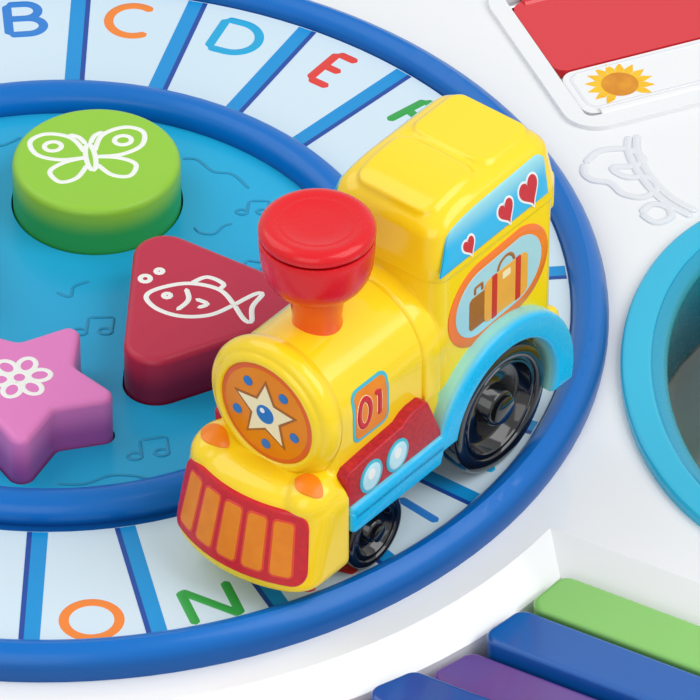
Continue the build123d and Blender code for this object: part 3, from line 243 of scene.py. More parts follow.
# ---------------------------------------------------------------- outlines
def arc(cx: float, cy: float, rx: float, ry: float, first: float, last: float,
        count: int = 16) -> list[Point]:
    """Points along an ellipse's arc, its ends included, with angles in degrees."""
    turns = [math.radians(first + (last - first) * i / count) for i in range(count + 1)]
    return [(cx + rx * math.cos(t), cy + ry * math.sin(t)) for t in turns]


def oval(cx: float, cy: float, rx: float, ry: float, count: int = 40) -> list[Point]:
    """A whole ellipse, its first point not repeated."""
    return arc(cx, cy, rx, ry, 0, 360, count)[:-1]


def rounded(cx: float, cy: float, width: float, height: float, r: float, splits: int = 6) -> list[Point]:
    """A rectangle with round corners, divided so that it can bend round a surface.

    Args:
        cx: its middle, across.
        cy: its middle, upwards.
        width: its whole width.
        height: its whole height.
        r: its corners' radius.
        splits: divisions of each straight side.

    Returns:
        The outline, anticlockwise.
    """
    w, h = width / 2 - r, height / 2 - r
    corners = [arc(cx + sx * w, cy + sy * h, r, r, turn, turn + 90, 6)
               for sx, sy, turn in ((1, 1, 0), (-1, 1, 90), (-1, -1, 180), (1, -1, 270))]
    points: list[Point] = []
    for corner, after in zip(corners, [*corners[1:], corners[0]]):
        (ax, ay), (bx, by) = corner[-1], after[0]
        points += corner
        points += [(ax + (bx - ax) * i / splits, ay + (by - ay) * i / splits) for i in range(1, splits)]
    return points


def heart(cx: float, cy: float, width: float, height: float, count: int = 40) -> list[Point]:
    """A plain heart, point down.

    Args:
        cx: its middle, across.
        cy: its middle, upwards.
        width: its width.
        height: its height.
        count: number of its points.

    Returns:
        The outline.
    """
    points = []
    for i in range(count):
        t = 2 * math.pi * i / count
        x = math.sin(t) ** 3
        y = (13 * math.cos(t) - 5 * math.cos(2 * t) - 2 * math.cos(3 * t) - math.cos(4 * t)) / 15
        points.append((cx - x * width / 2, cy + (y + 0.12) * height / 2))
    return points


def star(tip: float, waist: float, tips: int = 5) -> list[Point]:
    """A star with straight sides, one tip up."""
    turns = [math.radians(90.0 + 180 * i / tips) for i in range(2 * tips)]
    return [((waist if i % 2 else tip) * math.cos(t), (waist if i % 2 else tip) * math.sin(t))
            for i, t in enumerate(turns)]


def flowing(marks: Sequence[Point], steps: int = 10) -> list[Point]:
    """A smooth line through marks.

    Args:
        marks: points that it goes through.
        steps: divisions between one mark and the next.

    Returns:
        The line's points, its ends included.
    """
    ends = [marks[0], *marks, marks[-1]]
    line: list[Point] = []
    for p0, p1, p2, p3 in zip(ends, ends[1:], ends[2:], ends[3:]):
        for i in range(steps):
            t = i / steps
            line.append(tuple(0.5 * (2 * b + (c - a) * t + (2 * a - 5 * b + 4 * c - d) * t ** 2
                                     + (3 * b - a - 3 * c + d) * t ** 3)
                              for a, b, c, d in zip(p0, p1, p2, p3)))
    return [*line, tuple(marks[-1])]


# ---------------------------------------------------------------- shapes
@dataclass
class Shape:
    """Points and faces of a closed form, in millimetres."""

    points: list[Point3] = field(default_factory=list)
    faces: list[tuple[int, ...]] = field(default_factory=list)

    def plus(self, *others: "Shape") -> "Shape":
        """This shape and others as one."""
        points, faces = list(self.points), list(self.faces)
        for other in others:
            base = len(points)
            points += other.points
            faces += [tuple(i + base for i in f) for f in other.faces]
        return Shape(points, faces)

    def placed(self, place: Place) -> "Shape":
        """This shape with each point sent through a mapping."""
        return Shape([place(*p) for p in self.points], self.faces)

    def mesh(self, name: str, scale: float = MM, crease: float = CREASE) -> bpy.types.Mesh:
        """Make a mesh with merged points, outward faces and smooth shading up to a crease.

        Args:
            name: the mesh's name.
            scale: from this shape's unit to the mesh's.
            crease: angle in degrees above which an edge stays sharp.

        Returns:
            The mesh.
        """
        made = bpy.data.meshes.new(name)
        made.from_pydata([tuple(c * scale for c in p) for p in self.points], [], self.faces)
        merge = 0.002 * scale
        work = bmesh.new()
        work.from_mesh(made)
        bmesh.ops.remove_doubles(work, verts=work.verts, dist=merge)
        bmesh.ops.dissolve_degenerate(work, dist=merge / 4, edges=work.edges)
        bmesh.ops.recalc_face_normals(work, faces=work.faces)
        work.to_mesh(made)
        work.free()
        made.polygons.foreach_set("use_smooth", [True] * len(made.polygons))
        made.set_sharp_from_angle(angle=math.radians(crease))
        made.update()
        return made


def as_shape(mesh: bpy.types.Mesh) -> Shape:
    """A mesh's points and faces."""
    return Shape([tuple(v.co) for v in mesh.vertices], [tuple(p.vertices) for p in mesh.polygons])


def rings(stack: Sequence[Sequence[Point3]]) -> Shape:
    """Join rings of equal count into a closed form with flat ends.

    Args:
        stack: the rings, one after the other.

    Returns:
        The closed form.
    """
    count = len(stack[0])
    faces = [tuple(reversed(range(count)))]
    for base in range(0, (len(stack) - 1) * count, count):
        for i in range(count):
            j = (i + 1) % count
            faces.append((base + i, base + j, base + count + j, base + count + i))
    faces.append(tuple(range((len(stack) - 1) * count, len(stack) * count)))
    return Shape([p for ring in stack for p in ring], faces)


def pointed(stack: Sequence[Sequence[Point3]], low: Point3, high: Point3) -> Shape:
    """Join rings of equal count into a closed form whose ends run to a middle point each.

    Args:
        stack: the rings, one after the other.
        low: the first end's middle point.
        high: the last end's middle point.

    Returns:
        The closed form.
    """
    shape = rings(stack)
    count, base = len(stack[0]), len(shape.points)
    shape.points += [low, high]
    shape.faces = shape.faces[1:-1]
    for i in range(count):
        j = (i + 1) % count
        shape.faces += [(j, i, base), (base - count + i, base - count + j, base + 1)]
    return shape


def inset(outline: Sequence[Point], by: float) -> list[Point]:
    """Move an outline inwards.

    Args:
        outline: the outline, anticlockwise.
        by: the margin, or less than nothing to move it outwards.

    Returns:
        The new outline, with as many points.
    """
    moved = []
    count = len(outline)
    for i in range(count):
        a, p, b = outline[i - 1], outline[i], outline[(i + 1) % count]
        one = Vector((p[0] - a[0], p[1] - a[1])).normalized()
        two = Vector((b[0] - p[0], b[1] - p[1])).normalized()
        normal = Vector((-one.y - two.y, one.x + two.x))
        if normal.length < 1e-9:
            normal = Vector((-one.y, one.x))
        normal.normalize()
        spread = max(0.5, normal.x * -one.y + normal.y * one.x)
        moved.append((p[0] + normal.x * by / spread, p[1] + normal.y * by / spread))
    return moved


def turned_round(outline: Sequence[Point]) -> list[Point]:
    """The outline run anticlockwise."""
    area = sum(a[0] * b[1] - b[0] * a[1] for a, b in zip(outline, [*outline[1:], outline[0]]))
    return list(outline) if area > 0 else list(reversed(outline))


def slab(outline: Sequence[Point], low: float, high: float, top: float = 0.0, bottom: float = 0.0) -> Shape:
    """A plate from an outline, with a round edge at its top and its bottom.

    Args:
        outline: points in the plate's plane.
        low: height of its underside.
        high: height of its upper side.
        top: radius of the upper edge.
        bottom: radius of the lower edge.

    Returns:
        The closed plate.
    """
    ring = turned_round(outline)
    steps = 4
    turns = [math.pi / 2 * i / steps for i in range(steps + 1)]
    levels = [(bottom * (1 - math.sin(t)), low + bottom * (1 - math.cos(t))) for t in turns[:-1] if bottom]
    levels += [(0.0, low + bottom), (0.0, high - top)]
    levels += [(top * (1 - math.cos(t)), high - top + top * math.sin(t)) for t in turns[1:] if top]
    return rings([[(x, y, z) for x, y in (inset(ring, by) if by > 1e-6 else ring)] for by, z in levels])


def inlay(outline: Sequence[Point], rise: float, sink: float = 0.4, centre: Point | None = None,
          fills: int = 5, soft: float = 0.15) -> Shape:
    """A thin printed or raised patch, divided towards its centre so that it can bend round a surface.

    Args:
        outline: its edge, in the plane.
        rise: height of its upper side.
        sink: depth of its underside.
        centre: where its divisions run to, or none for the middle of its points.
        fills: number of its divisions.
        soft: width of its sloping edge.

    Returns:
        The closed patch.
    """
    ring = turned_round(outline)
    cx, cy = centre or (sum(p[0] for p in ring) / len(ring), sum(p[1] for p in ring) / len(ring))
    small = inset(ring, soft)
    stack = [[(cx + (x - cx) * (i / fills), cy + (y - cy) * (i / fills), -sink) for x, y in ring]
             for i in range(1, fills + 1)]
    stack += [[(cx + (x - cx), cy + (y - cy), rise * 0.6) for x, y in ring], [(x, y, rise) for x, y in small]]
    stack += [[(cx + (x - cx) * i / fills, cy + (y - cy) * i / fills, rise) for x, y in small]
              for i in range(fills - 1, 0, -1)]
    return pointed(stack, (cx, cy, -sink), (cx, cy, rise))


def lathe(profile: Sequence[Point], segments: int = 72) -> Shape:
    """Turn a profile about the upright axis.

    Args:
        profile: pairs of height and radius, from the axis back to the axis.
        segments: number of its divisions round the axis.

    Returns:
        The closed form.
    """
    turns = [2 * math.pi * i / segments for i in range(segments)]
    stack = [[(r * math.cos(t), r * math.sin(t), h) for t in turns] for h, r in profile if r > 1e-6]
    return pointed(stack, (0.0, 0.0, profile[0][0]), (0.0, 0.0, profile[-1][0]))


def ellipsoid(centre: Sequence[float], radii: Sequence[float], count: int = 24) -> Shape:
    """A closed ball, stretched along each axis.

    Args:
        centre: its middle.
        radii: its radius along each axis.
        count: number of its divisions from end to end.

    Returns:
        The closed form.
    """
    profile = [(-math.cos(math.pi * i / count), math.sin(math.pi * i / count)) for i in range(count + 1)]
    profile[0], profile[-1] = (-1.0, 0.0), (1.0, 0.0)
    return lathe(profile, 2 * count).placed(
        lambda *p: tuple(middle + c * r for middle, c, r in zip(centre, p, radii)))


def soft_union(name: str, shapes: Sequence[Shape], voxel: float, smoothing: int,
               cuts: Sequence[Shape] = ()) -> Shape:
    """Run closed forms together into one skin with the soft edges and hollows of a moulding.

    Args:
        name: for the working mesh.
        shapes: the forms, in millimetres.
        voxel: fineness of the skin, in millimetres.
        smoothing: rounds of smoothing.
        cuts: forms taken away from the first shape before the others join it.

    Returns:
        The skin, in millimetres.
    """
    first = linked(name, shapes[0].mesh(name, scale=1.0))
    helpers = []
    for i, cut in enumerate(cuts):
        helpers.append(linked(f"{name}_cut_{i}", cut.mesh(f"{name}_cut_{i}", scale=1.0)))
        taken = first.modifiers.new(f"cut_{i}", "BOOLEAN")
        taken.operation, taken.solver, taken.object = "DIFFERENCE", "EXACT", helpers[-1]
    base = baked(first, name + "_base")
    for helper in helpers:
        bpy.data.objects.remove(helper)
    work = linked(name + "_skin", as_shape(base).plus(*shapes[1:]).mesh(name + "_skin", scale=1.0))
    remesh = work.modifiers.new("skin", "REMESH")
    remesh.mode, remesh.voxel_size, remesh.adaptivity = "VOXEL", voxel, 0.0
    smooth = work.modifiers.new("soften", "SMOOTH")
    smooth.factor, smooth.iterations = 0.5, smoothing
    return as_shape(baked(work, name + "_soft"))


# ---------------------------------------------------------------- geometry nodes
class Nodes:
    """The node trees that draw strokes along paths and repeat a form, made once and run on any form."""

    made: dict[str, tuple[Tree, dict[str, str]]] = {}

    @staticmethod
    def _tree(name: str, **inputs: str) -> tuple[Tree, object, dict[str, str]]:
        """Start a tree with named inputs.

        Args:
            name: the tree's name.
            inputs: each input's kind by its name.

        Returns:
            The tree, its inputs as sockets to link from, and each input's identifier by its name.
        """
        tree = bpy.data.node_groups.new(name, "GeometryNodeTree")
        socket = tree.interface.new_socket
        socket(name="Geometry", in_out="INPUT", socket_type="NodeSocketGeometry")
        known = {label: socket(name=label, in_out="INPUT", socket_type="NodeSocket" + kind).identifier
                 for label, kind in inputs.items()}
        socket(name="Geometry", in_out="OUTPUT", socket_type="NodeSocketGeometry")
        return tree, add(tree, "NodeGroupInput").outputs, known

    @staticmethod
    def _finish(tree: Tree, given: object, last: Socket) -> None:
        """End a tree in Realize Instances and Set Material."""
        real = add(tree, "GeometryNodeRealizeInstances", {"Geometry": last})
        paint = add(tree, "GeometryNodeSetMaterial",
                    {"Geometry": real.outputs["Geometry"], "Material": given["Material"]})
        add(tree, "NodeGroupOutput", {"Geometry": paint.outputs["Geometry"]})

    @classmethod
    def stroke(cls) -> tuple[Tree, dict[str, str]]:
        """The tree that runs a low round profile along every path, with round ends."""
        tree, given, known = cls._tree("stroke", Width="Float", Rise="Float", Step="Float",
                                       Material="Material")
        curve = add(tree, "GeometryNodeMeshToCurve", {"Mesh": given["Geometry"]}).outputs["Curve"]
        even = add(tree, "GeometryNodeResampleCurve", {"Curve": curve, "Length": given["Step"]},
                   mode="LENGTH")
        along = add(tree, "GeometryNodeSplineParameter").outputs["Length"]
        whole = add(tree, "GeometryNodeSplineLength").outputs["Length"]
        near = calc(tree, "MINIMUM", along, calc(tree, "SUBTRACT", whole, along))
        share = calc(tree, "DIVIDE", near, calc(tree, "MULTIPLY", given["Width"], 0.5), clamp=True)
        square = calc(tree, "POWER", calc(tree, "SUBTRACT", 1.0, share), 2.0)
        end = calc(tree, "MAXIMUM", calc(tree, "SQRT", calc(tree, "SUBTRACT", 1.0, square)), 0.12)
        closed = add(tree, "GeometryNodeInputSplineCyclic").outputs["Cyclic"]
        pick = add(tree, "GeometryNodeSwitch", {"Switch": closed, "False": end, "True": 1.0},
                   input_type="FLOAT")
        radius = add(tree, "GeometryNodeSetCurveRadius",
                     {"Curve": even.outputs["Curve"], "Radius": pick.outputs["Output"]})
        upright = add(tree, "GeometryNodeSetCurveNormal", {"Curve": radius.outputs["Curve"]}, mode="Z_UP")
        ring = add(tree, "GeometryNodeCurvePrimitiveCircle", {"Resolution": 10, "Radius": 0.5})
        size = add(tree, "ShaderNodeCombineXYZ",
                   {"X": given["Width"], "Y": calc(tree, "MULTIPLY", given["Rise"], 2.0), "Z": 1.0})
        flat = add(tree, "GeometryNodeTransform",
                   {"Geometry": ring.outputs["Curve"], "Scale": size.outputs["Vector"]})
        tube = add(tree, "GeometryNodeCurveToMesh",
                   {"Curve": upright.outputs["Curve"], "Profile Curve": flat.outputs["Geometry"],
                    "Fill Caps": True})
        if "Scale" in tube.inputs:
            tree.links.new(add(tree, "GeometryNodeInputRadius").outputs["Radius"], tube.inputs["Scale"])
        cls._finish(tree, given, tube.outputs["Mesh"])
        return tree, known

    @classmethod
    def repeat(cls) -> tuple[Tree, dict[str, str]]:
        """The tree that sets a form down Count times, each one step and one turn further."""
        tree, given, known = cls._tree("repeat", Count="Int", Turn="Float", Step="Vector",
                                       Material="Material")
        line = add(tree, "GeometryNodeMeshLine", {"Count": given["Count"], "Offset": given["Step"]})
        turn = calc(tree, "MULTIPLY", add(tree, "GeometryNodeInputIndex").outputs["Index"], given["Turn"])
        spin = add(tree, "ShaderNodeCombineXYZ", {"Z": turn})
        place = add(tree, "GeometryNodeInstanceOnPoints",
                    {"Points": line.outputs["Mesh"], "Instance": given["Geometry"],
                     "Rotation": spin.outputs["Vector"]})
        cls._finish(tree, given, place.outputs["Instances"])
        return tree, known

    @classmethod
    def run(cls, kind: str, mesh: bpy.types.Mesh, finish: Finish, **values: object) -> Shape:
        """Run a tree on a mesh.

        Args:
            kind: "stroke" or "repeat".
            mesh: what the tree starts from, in millimetres.
            finish: the surface that the tree gives its result.
            values: each other input's value by its name.

        Returns:
            The result, in millimetres.
        """
        if kind not in cls.made:
            cls.made[kind] = getattr(cls, kind)()
        tree, known = cls.made[kind]
        work = linked("work_" + mesh.name, mesh)
        run = work.modifiers.new(kind, "NODES")
        run.node_group = tree
        for label, value in {**values, "Material": finish.material()}.items():
            run[known[label]] = value
        return as_shape(baked(work, mesh.name + "_" + kind))


def strokes(name: str, paths: Sequence[Sequence[Point]], width: float, rise: float, finish: Finish,
            closed: Sequence[bool] | bool = False, step: float = 0.7) -> Shape:
    """Draw flat round-ended strokes along paths.

    Args:
        name: for the working mesh.
        paths: lines in the plane, in millimetres.
        width: of a stroke.
        rise: of a stroke above the plane.
        finish: what it is printed or moulded in.
        closed: whether each path, or every path, runs back to its start.
        step: distance between sections.

    Returns:
        The strokes, in millimetres.
    """
    loops = [closed] * len(paths) if isinstance(closed, bool) else list(closed)
    points: list[Point3] = []
    edges: list[tuple[int, int]] = []
    for number, (path, loop) in enumerate(zip(paths, loops)):
        base, lift = len(points), 0.004 * (number % 5)
        points += [(x, y, lift) for x, y in path]
        edges += [(base + i, base + i + 1) for i in range(len(path) - 1)]
        if loop:
            edges.append((base + len(path) - 1, base))
    mesh = bpy.data.meshes.new(name)
    mesh.from_pydata(points, edges, [])
    return Nodes.run("stroke", mesh, finish, Width=width, Rise=rise, Step=step)


def repeated(name: str, shape: Shape, count: int, finish: Finish, turn: float = 0.0,
             step: Point3 = (0.0, 0.0, 0.0)) -> Shape:
    """Set a form down several times.

    Args:
        name: for the working mesh.
        shape: the form.
        count: how many times it is set down.
        finish: its surface.
        turn: how far each one is turned from the one before, in radians.
        step: how far each one is moved from the one before, in millimetres.

    Returns:
        All of them as one shape.
    """
    return Nodes.run("repeat", shape.mesh(name, scale=1.0), finish, Count=count, Turn=turn, Step=step)


# ---------------------------------------------------------------- pieces
def piece(name: str, shape: Shape, finish: Finish, body: str, stands_for: Sequence[str] = (),
          crease: float = CREASE) -> None:
    """Make a finished piece of the object.

    Args:
        name: the piece's name.
        shape: its form in the table's frame, in millimetres.
        finish: its surface.
        body: the body it moves with.
        stands_for: solids that it replaces.
        crease: angle in degrees above which an edge stays sharp.
    """
    made = linked(name, shape.mesh(name, crease=crease))
    made.data.materials.append(finish.material())
    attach(made, body)
    if stands_for:
        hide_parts(*stands_for)
    LOG.info("piece %s: %d faces, rides on %s", name, len(made.data.polygons), body)


def dress(frame: dict, finish: Finish, *names: str) -> None:
    """Give solids that keep their shape a finish.

    Args:
        frame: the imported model.
        finish: the surface.
        names: the solids' names.
    """
    for name in names:
        mesh = frame["nodes"][name].data
        mesh.materials.clear()
        mesh.materials.append(finish.material())
        LOG.info("dressed %s in %s", name, finish.name)


# ---------------------------------------------------------------- places
@dataclass(frozen=True)
class Spot:
    """A flat place on the object: its middle, its height and its turn."""

    x: float
    y: float
    z: float = 0.0
    turn: float = 0.0

    def put(self, x: float, y: float, z: float) -> Point3:
        """Send a point of the flat drawing to its place."""
        c, s = math.cos(math.radians(self.turn)), math.sin(math.radians(self.turn))
        return self.x + x * c - y * s, self.y + x * s + y * c, self.z + z

    def line(self, path: Sequence[Point]) -> list[Point]:
        """Send a line of the flat drawing to its place."""
        return [self.put(x, y, 0)[:2] for x, y in path]


def below(colour: str, high: float = 401.8, low: float = 392.0) -> Fade:
    """A darker colour that takes over downwards, between two heights."""
    return Fade(colour, (0, 0, -1), -high, -low)


class Tones:
    """The finishes of the whole object: colour, the colour it drifts to, roughness and coat come first."""

    white = Finish("F1F2F2", "E9ECF0", 0.16, 0.5, drift_scale=6)
    # white_raised is darker than white: painted shade on the raised ornaments and the leaf border
    white_raised = Finish("E6E8EC", "DDE1E7", 0.2, 0.5)
    # the rail darkens towards its foot: painted shade
    rail = Finish("006CC2", "0268BC", 0.32, 0.08, drift_scale=7, fade=below("0B569F", 392.5, 388.5))
    print_sheet = Finish("CDE3EF", "DCE9F2", 0.34, 0.15, drift_scale=9)
    bar = Finish("0E93D6", "1C84CB", 0.34, 0.15)
    bar_edge = Finish("17489E", "1B3F93", 0.34, 0.15)
    disc = Finish("10AEDA", "2AA4D6", 0.34, 0.12, drift=0.6, drift_scale=9)
    # disc_raised is darker than disc: painted shade on the raised notes and waves
    disc_raised = Finish("1792BD", "2487B6", 0.3, 0.2)
    # the four button colours darken downwards: painted shade on the buttons' sides
    green = Finish("95CB40", "8CC63C", 0.38, 0.06, fade=below("2FA24C", 401.5, 394.0))
    crimson = Finish("BE2E49", "B52A46", 0.38, 0.06, fade=below("7E1234"))
    pink = Finish("E382C3", "DC7ABB", 0.36, 0.08, fade=below("A9539A"))
    orange_block = Finish("F0842F", "EA7A2A", 0.38, 0.06, fade=below("B5501A"))
    line_art = Finish("F3F4EE", "ECEFE8", 0.42, 0.1)
    yellow = Finish("FFDD1F", "FBD416", 0.2, 0.45, drift_scale=16)
    funnel = Finish("E3121E", "DA101C", 0.26, 0.2)
    funnel_stem = Finish("E5272C", "DE222A", 0.2, 0.5, fade=below("F0601F", 468.5, 459.0))
    black = Finish("0C0D12", "14151C", 0.12, 0.7)
    grained_red = Finish("C8232F", "A81B2A", 0.42, 0.1, drift=0.9, drift_scale=900, grain=0.12,
                         grain_scale=1500)
    grille_red = Finish("D2202B", "BC1D2B", 0.34, 0.2, drift=0.6, drift_scale=700, grain=0.06,
                        grain_scale=1200)
    slot_line = Finish("E8482E", "DD3C2B", 0.3, 0.3)
    slot_orange = Finish("F08C12", "E67A10", 0.34, 0.2, drift=0.5, drift_scale=260)
    badge_orange = Finish("EE8C0E", "E0780E", 0.34, 0.1, drift_scale=60)
    badge_ring = Finish("E7652A", "DD5A26", 0.32, 0.25)
    lamp_orange = Finish("F5860E", "EE780E", 0.3, 0.15, drift_scale=120)
    window_ring = Finish("F97E2B", "F37227", 0.3, 0.25)
    pane = Finish("A7DDEB", "97D3E6", 0.3, 0.25, drift_scale=80)
    tan = Finish("F3B04A", "E79C3C", 0.34, drift_scale=120)
    brown = Finish("A8662A", "975A25", 0.36)
    print_red = Finish("CF1F2E", "C31C2B", 0.32, 0.2)
    # white print on the hearts' edges, and also the painted highlights on the badge and the portholes
    print_white = Finish("F6F7F5", "F0F2F2", 0.36, 0.15)
    print_blue = Finish("1C78C8", "176BB8", 0.32, 0.2)
    print_cyan = Finish("45BCD2", "3AB0C9", 0.32, 0.2)
    cream = Finish("FBEFC4", "F7E7B2", 0.34, 0.2)
    port = Finish("BFEAF5", "A6E0F1", 0.14, 0.6)
    sun = Finish("E39A2A", "D0801F", 0.4, 0.1, drift=0.8, drift_scale=220)
    sun_ray = Finish("F9C82A", "F2B41F", 0.4, 0.1, drift=0.7, drift_scale=180)
    teal = Finish("2FB9DD", "27AFD4", 0.24, 0.3)
    # a darker copy of teal: painted shade down the roller well's wall
    teal_deep = Finish("249FC4", "1E95BA", 0.26, 0.3)
    steel = Finish("B9BCC2", "A6AAB1", 0.26, 0.0, metallic=1.0, grain_scale=1800)
    brass = Finish("C9A95A", "BD9B4C", 0.3, 0.0, metallic=1.0)
    rubber = Finish("4A4E55", "424650", 0.62, 0.0, grain=0.08, grain_scale=900)
    pad = Finish("D9DCD8", "CDD1CD", 0.55, 0.0)
    board = Finish("11613A", "0C4E2E", 0.42, 0.2, drift=0.8, drift_scale=260)
    cone = Finish("2B2C30", "1E1F23", 0.6, 0.0, grain=0.05)
    cell = Finish("39605B", "2C4E4B", 0.3, 0.3, metallic=0.3)
    card = Finish("EDE9DD", "E2DDCD", 0.7, 0.0, drift=0.6, drift_scale=400)
    key_green = Finish("8DCC6C", "7FC460", 0.2, 0.5)
    key_blue = Finish("0D5FB2", "1450A0", 0.16, 0.6)
    key_purple = Finish("6C4A96", "5F3F8B", 0.2, 0.5)
    key_navy = Finish("1B4FA3", "17448F", 0.18, 0.5)
    key_red = Finish("D0303C", "C42A36", 0.2, 0.5)
    red = Finish("DB2733", "CF212E", 0.18, 0.5)


class Tint(Enum):
    """Colours of the printed letters."""

    RED = "DF4038"
    ORANGE = "F08635"
    GREEN = "33A24A"
    CYAN = "1BA7D8"
    BLUE = "2F7FD0"


# ---------------------------------------------------------------- the table and its letter track
# heights of the white surface, the letter sheet, the disc and the shape buttons
SURFACE, TRACK, DISC, BLOCK_TOP = 385.0, 388.9, 389.3, 403.3


@dataclass(frozen=True)
class TableShell:
    """The casing, its legs and the raised ornaments on the white surface."""

    ornament_width: float = 2.2
    ornament_rise: float = 0.75

    def build(self, frame: dict) -> None:
        """Dress the casing and lay its ornaments.

        Args:
            frame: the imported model.
        """
        dress(frame, Tones.white, "table_top", "table_base", "leg_front_left", "leg_front_right",
              "leg_back_left", "leg_back_right", "battery_door")
        dress(frame, Tones.rubber, "foot_pads")
        puffs = [
            flowing([(137, 56), (141, 61), (148, 61.5), (152, 58), (150, 54.5), (144, 54), (147, 50),
                     (153, 49.5), (155, 45), (151, 41.5), (146, 43), (143, 47.5), (138.5, 49), (136.5, 52),
                     (137, 56)]),
            flowing([(149, 67), (148.5, 60), (151, 50), (156, 40), (163, 33)]),
            flowing([(151.2, 67.6), (150.8, 60.5), (153.2, 51), (158, 41.5), (164.5, 35)]),
            flowing([(150, 35), (153, 38.5), (157, 37), (157.5, 33), (153.5, 31), (150, 35)]),
        ]
        mirrored = [[(-x, y + 6) for x, y in path] for path in puffs]
        waves = [flowing([(x0 + 9 * i, y0 + 3.2 * (-1) ** i) for i in range(7)])
                 for x0, y0 in ((-174, -196), (-174, -206), (120, 190), (120, 200))]
        lines = strokes("shell_ornaments", [*puffs, *mirrored, *waves], self.ornament_width,
                        self.ornament_rise, Tones.white_raised)
        piece("shell_ornaments", lines.placed(Spot(0, 0, SURFACE).put), Tones.white_raised, "table")


LETTERS: dict[str, list[list[Point]]] = {
    "A": [[(-.42, 0), (0, 1)], [(0, 1), (.42, 0)], [(-.27, .34), (.27, .34)]],
    "B": [[(-.3, 0), (-.3, 1)], [(-.3, 1), *arc(0, .76, .24, .24, 90, -90), (-.3, .52)],
          [(-.3, .52), *arc(.03, .26, .28, .26, 90, -90), (-.3, 0)]],
    "C": [arc(0, .5, .43, .5, 48, 312, 28)],
    "D": [[(-.38, 0), (-.38, 1)], [(-.38, 1), *arc(-.06, .5, .44, .5, 90, -90), (-.38, 0)]],
    "E": [[(-.2, 0), (-.2, 1)], [(-.2, 1), (.21, 1)], [(-.2, .52), (.15, .52)], [(-.2, 0), (.21, 0)]],
    "F": [[(-.2, 0), (-.2, 1)], [(-.2, 1), (.21, 1)], [(-.2, .52), (.15, .52)]],
    "G": [[*arc(0, .5, .43, .5, 48, 345, 30)], [(.1, .42), (.42, .42)]],
    "H": [[(-.34, 0), (-.34, 1)], [(.34, 0), (.34, 1)], [(-.34, .52), (.34, .52)]],
    "I": [[(0, 0), (0, 1)]],
    "J": [[(.2, 1), *arc(-.06, .26, .26, .26, 0, -170)]],
    "K": [[(-.28, 0), (-.28, 1)], [(.3, 1), (-.28, .42)], [(-.06, .62), (.33, 0)]],
    "L": [[(-.22, 1), (-.22, 0)], [(-.22, 0), (.24, 0)]],
    "M": [[(-.44, 0), (-.44, 1)], [(-.44, 1), (0, .3)], [(0, .3), (.44, 1)], [(.44, 1), (.44, 0)]],
    "N": [[(-.38, 0), (-.38, 1)], [(-.38, 1), (.38, 0)], [(.38, 0), (.38, 1)]],
    "O": [oval(0, .5, .45, .5)],
    "P": [[(-.26, 0), (-.26, 1)], [(-.26, 1), *arc(.02, .73, .27, .27, 90, -90), (-.26, .46)]],
    "Q": [oval(0, .5, .45, .5), [(.12, .26), (.44, -.04)]],
    "R": [[(-.26, 0), (-.26, 1)], [(-.26, 1), *arc(.02, .73, .27, .27, 90, -90), (-.26, .46)],
          [(.0, .46), (.33, 0)]],
    "S": [[*arc(0, .74, .28, .26, 30, 270), *arc(0, .24, .3, .24, 90, -150)]],
    "T": [[(-.36, 1), (.36, 1)], [(0, 1), (0, 0)]],
    "U": [[(-.34, 1), *arc(0, .34, .34, .34, 180, 360), (.34, 1)]],
    "V": [[(-.4, 1), (0, 0)], [(0, 0), (.4, 1)]],
    "W": [[(-.56, 1), (-.28, 0)], [(-.28, 0), (0, .8)], [(0, .8), (.28, 0)], [(.28, 0), (.56, 1)]],
    "X": [[(-.36, 1), (.36, 0)], [(.36, 1), (-.36, 0)]],
    "Y": [[(-.38, 1), (0, .48)], [(.38, 1), (0, .48)], [(0, .48), (0, 0)]],
    "Z": [[(-.34, 1), (.34, 1)], [(.34, 1), (-.34, 0)], [(-.34, 0), (.34, 0)]],
}
LOOPED = {"O": [True], "Q": [True, False]}
# the first letter of each printed letter's colour, from A to Z
TINT_RUN = "GBOCRGBORGCBRGOBRCGORBGCOR"


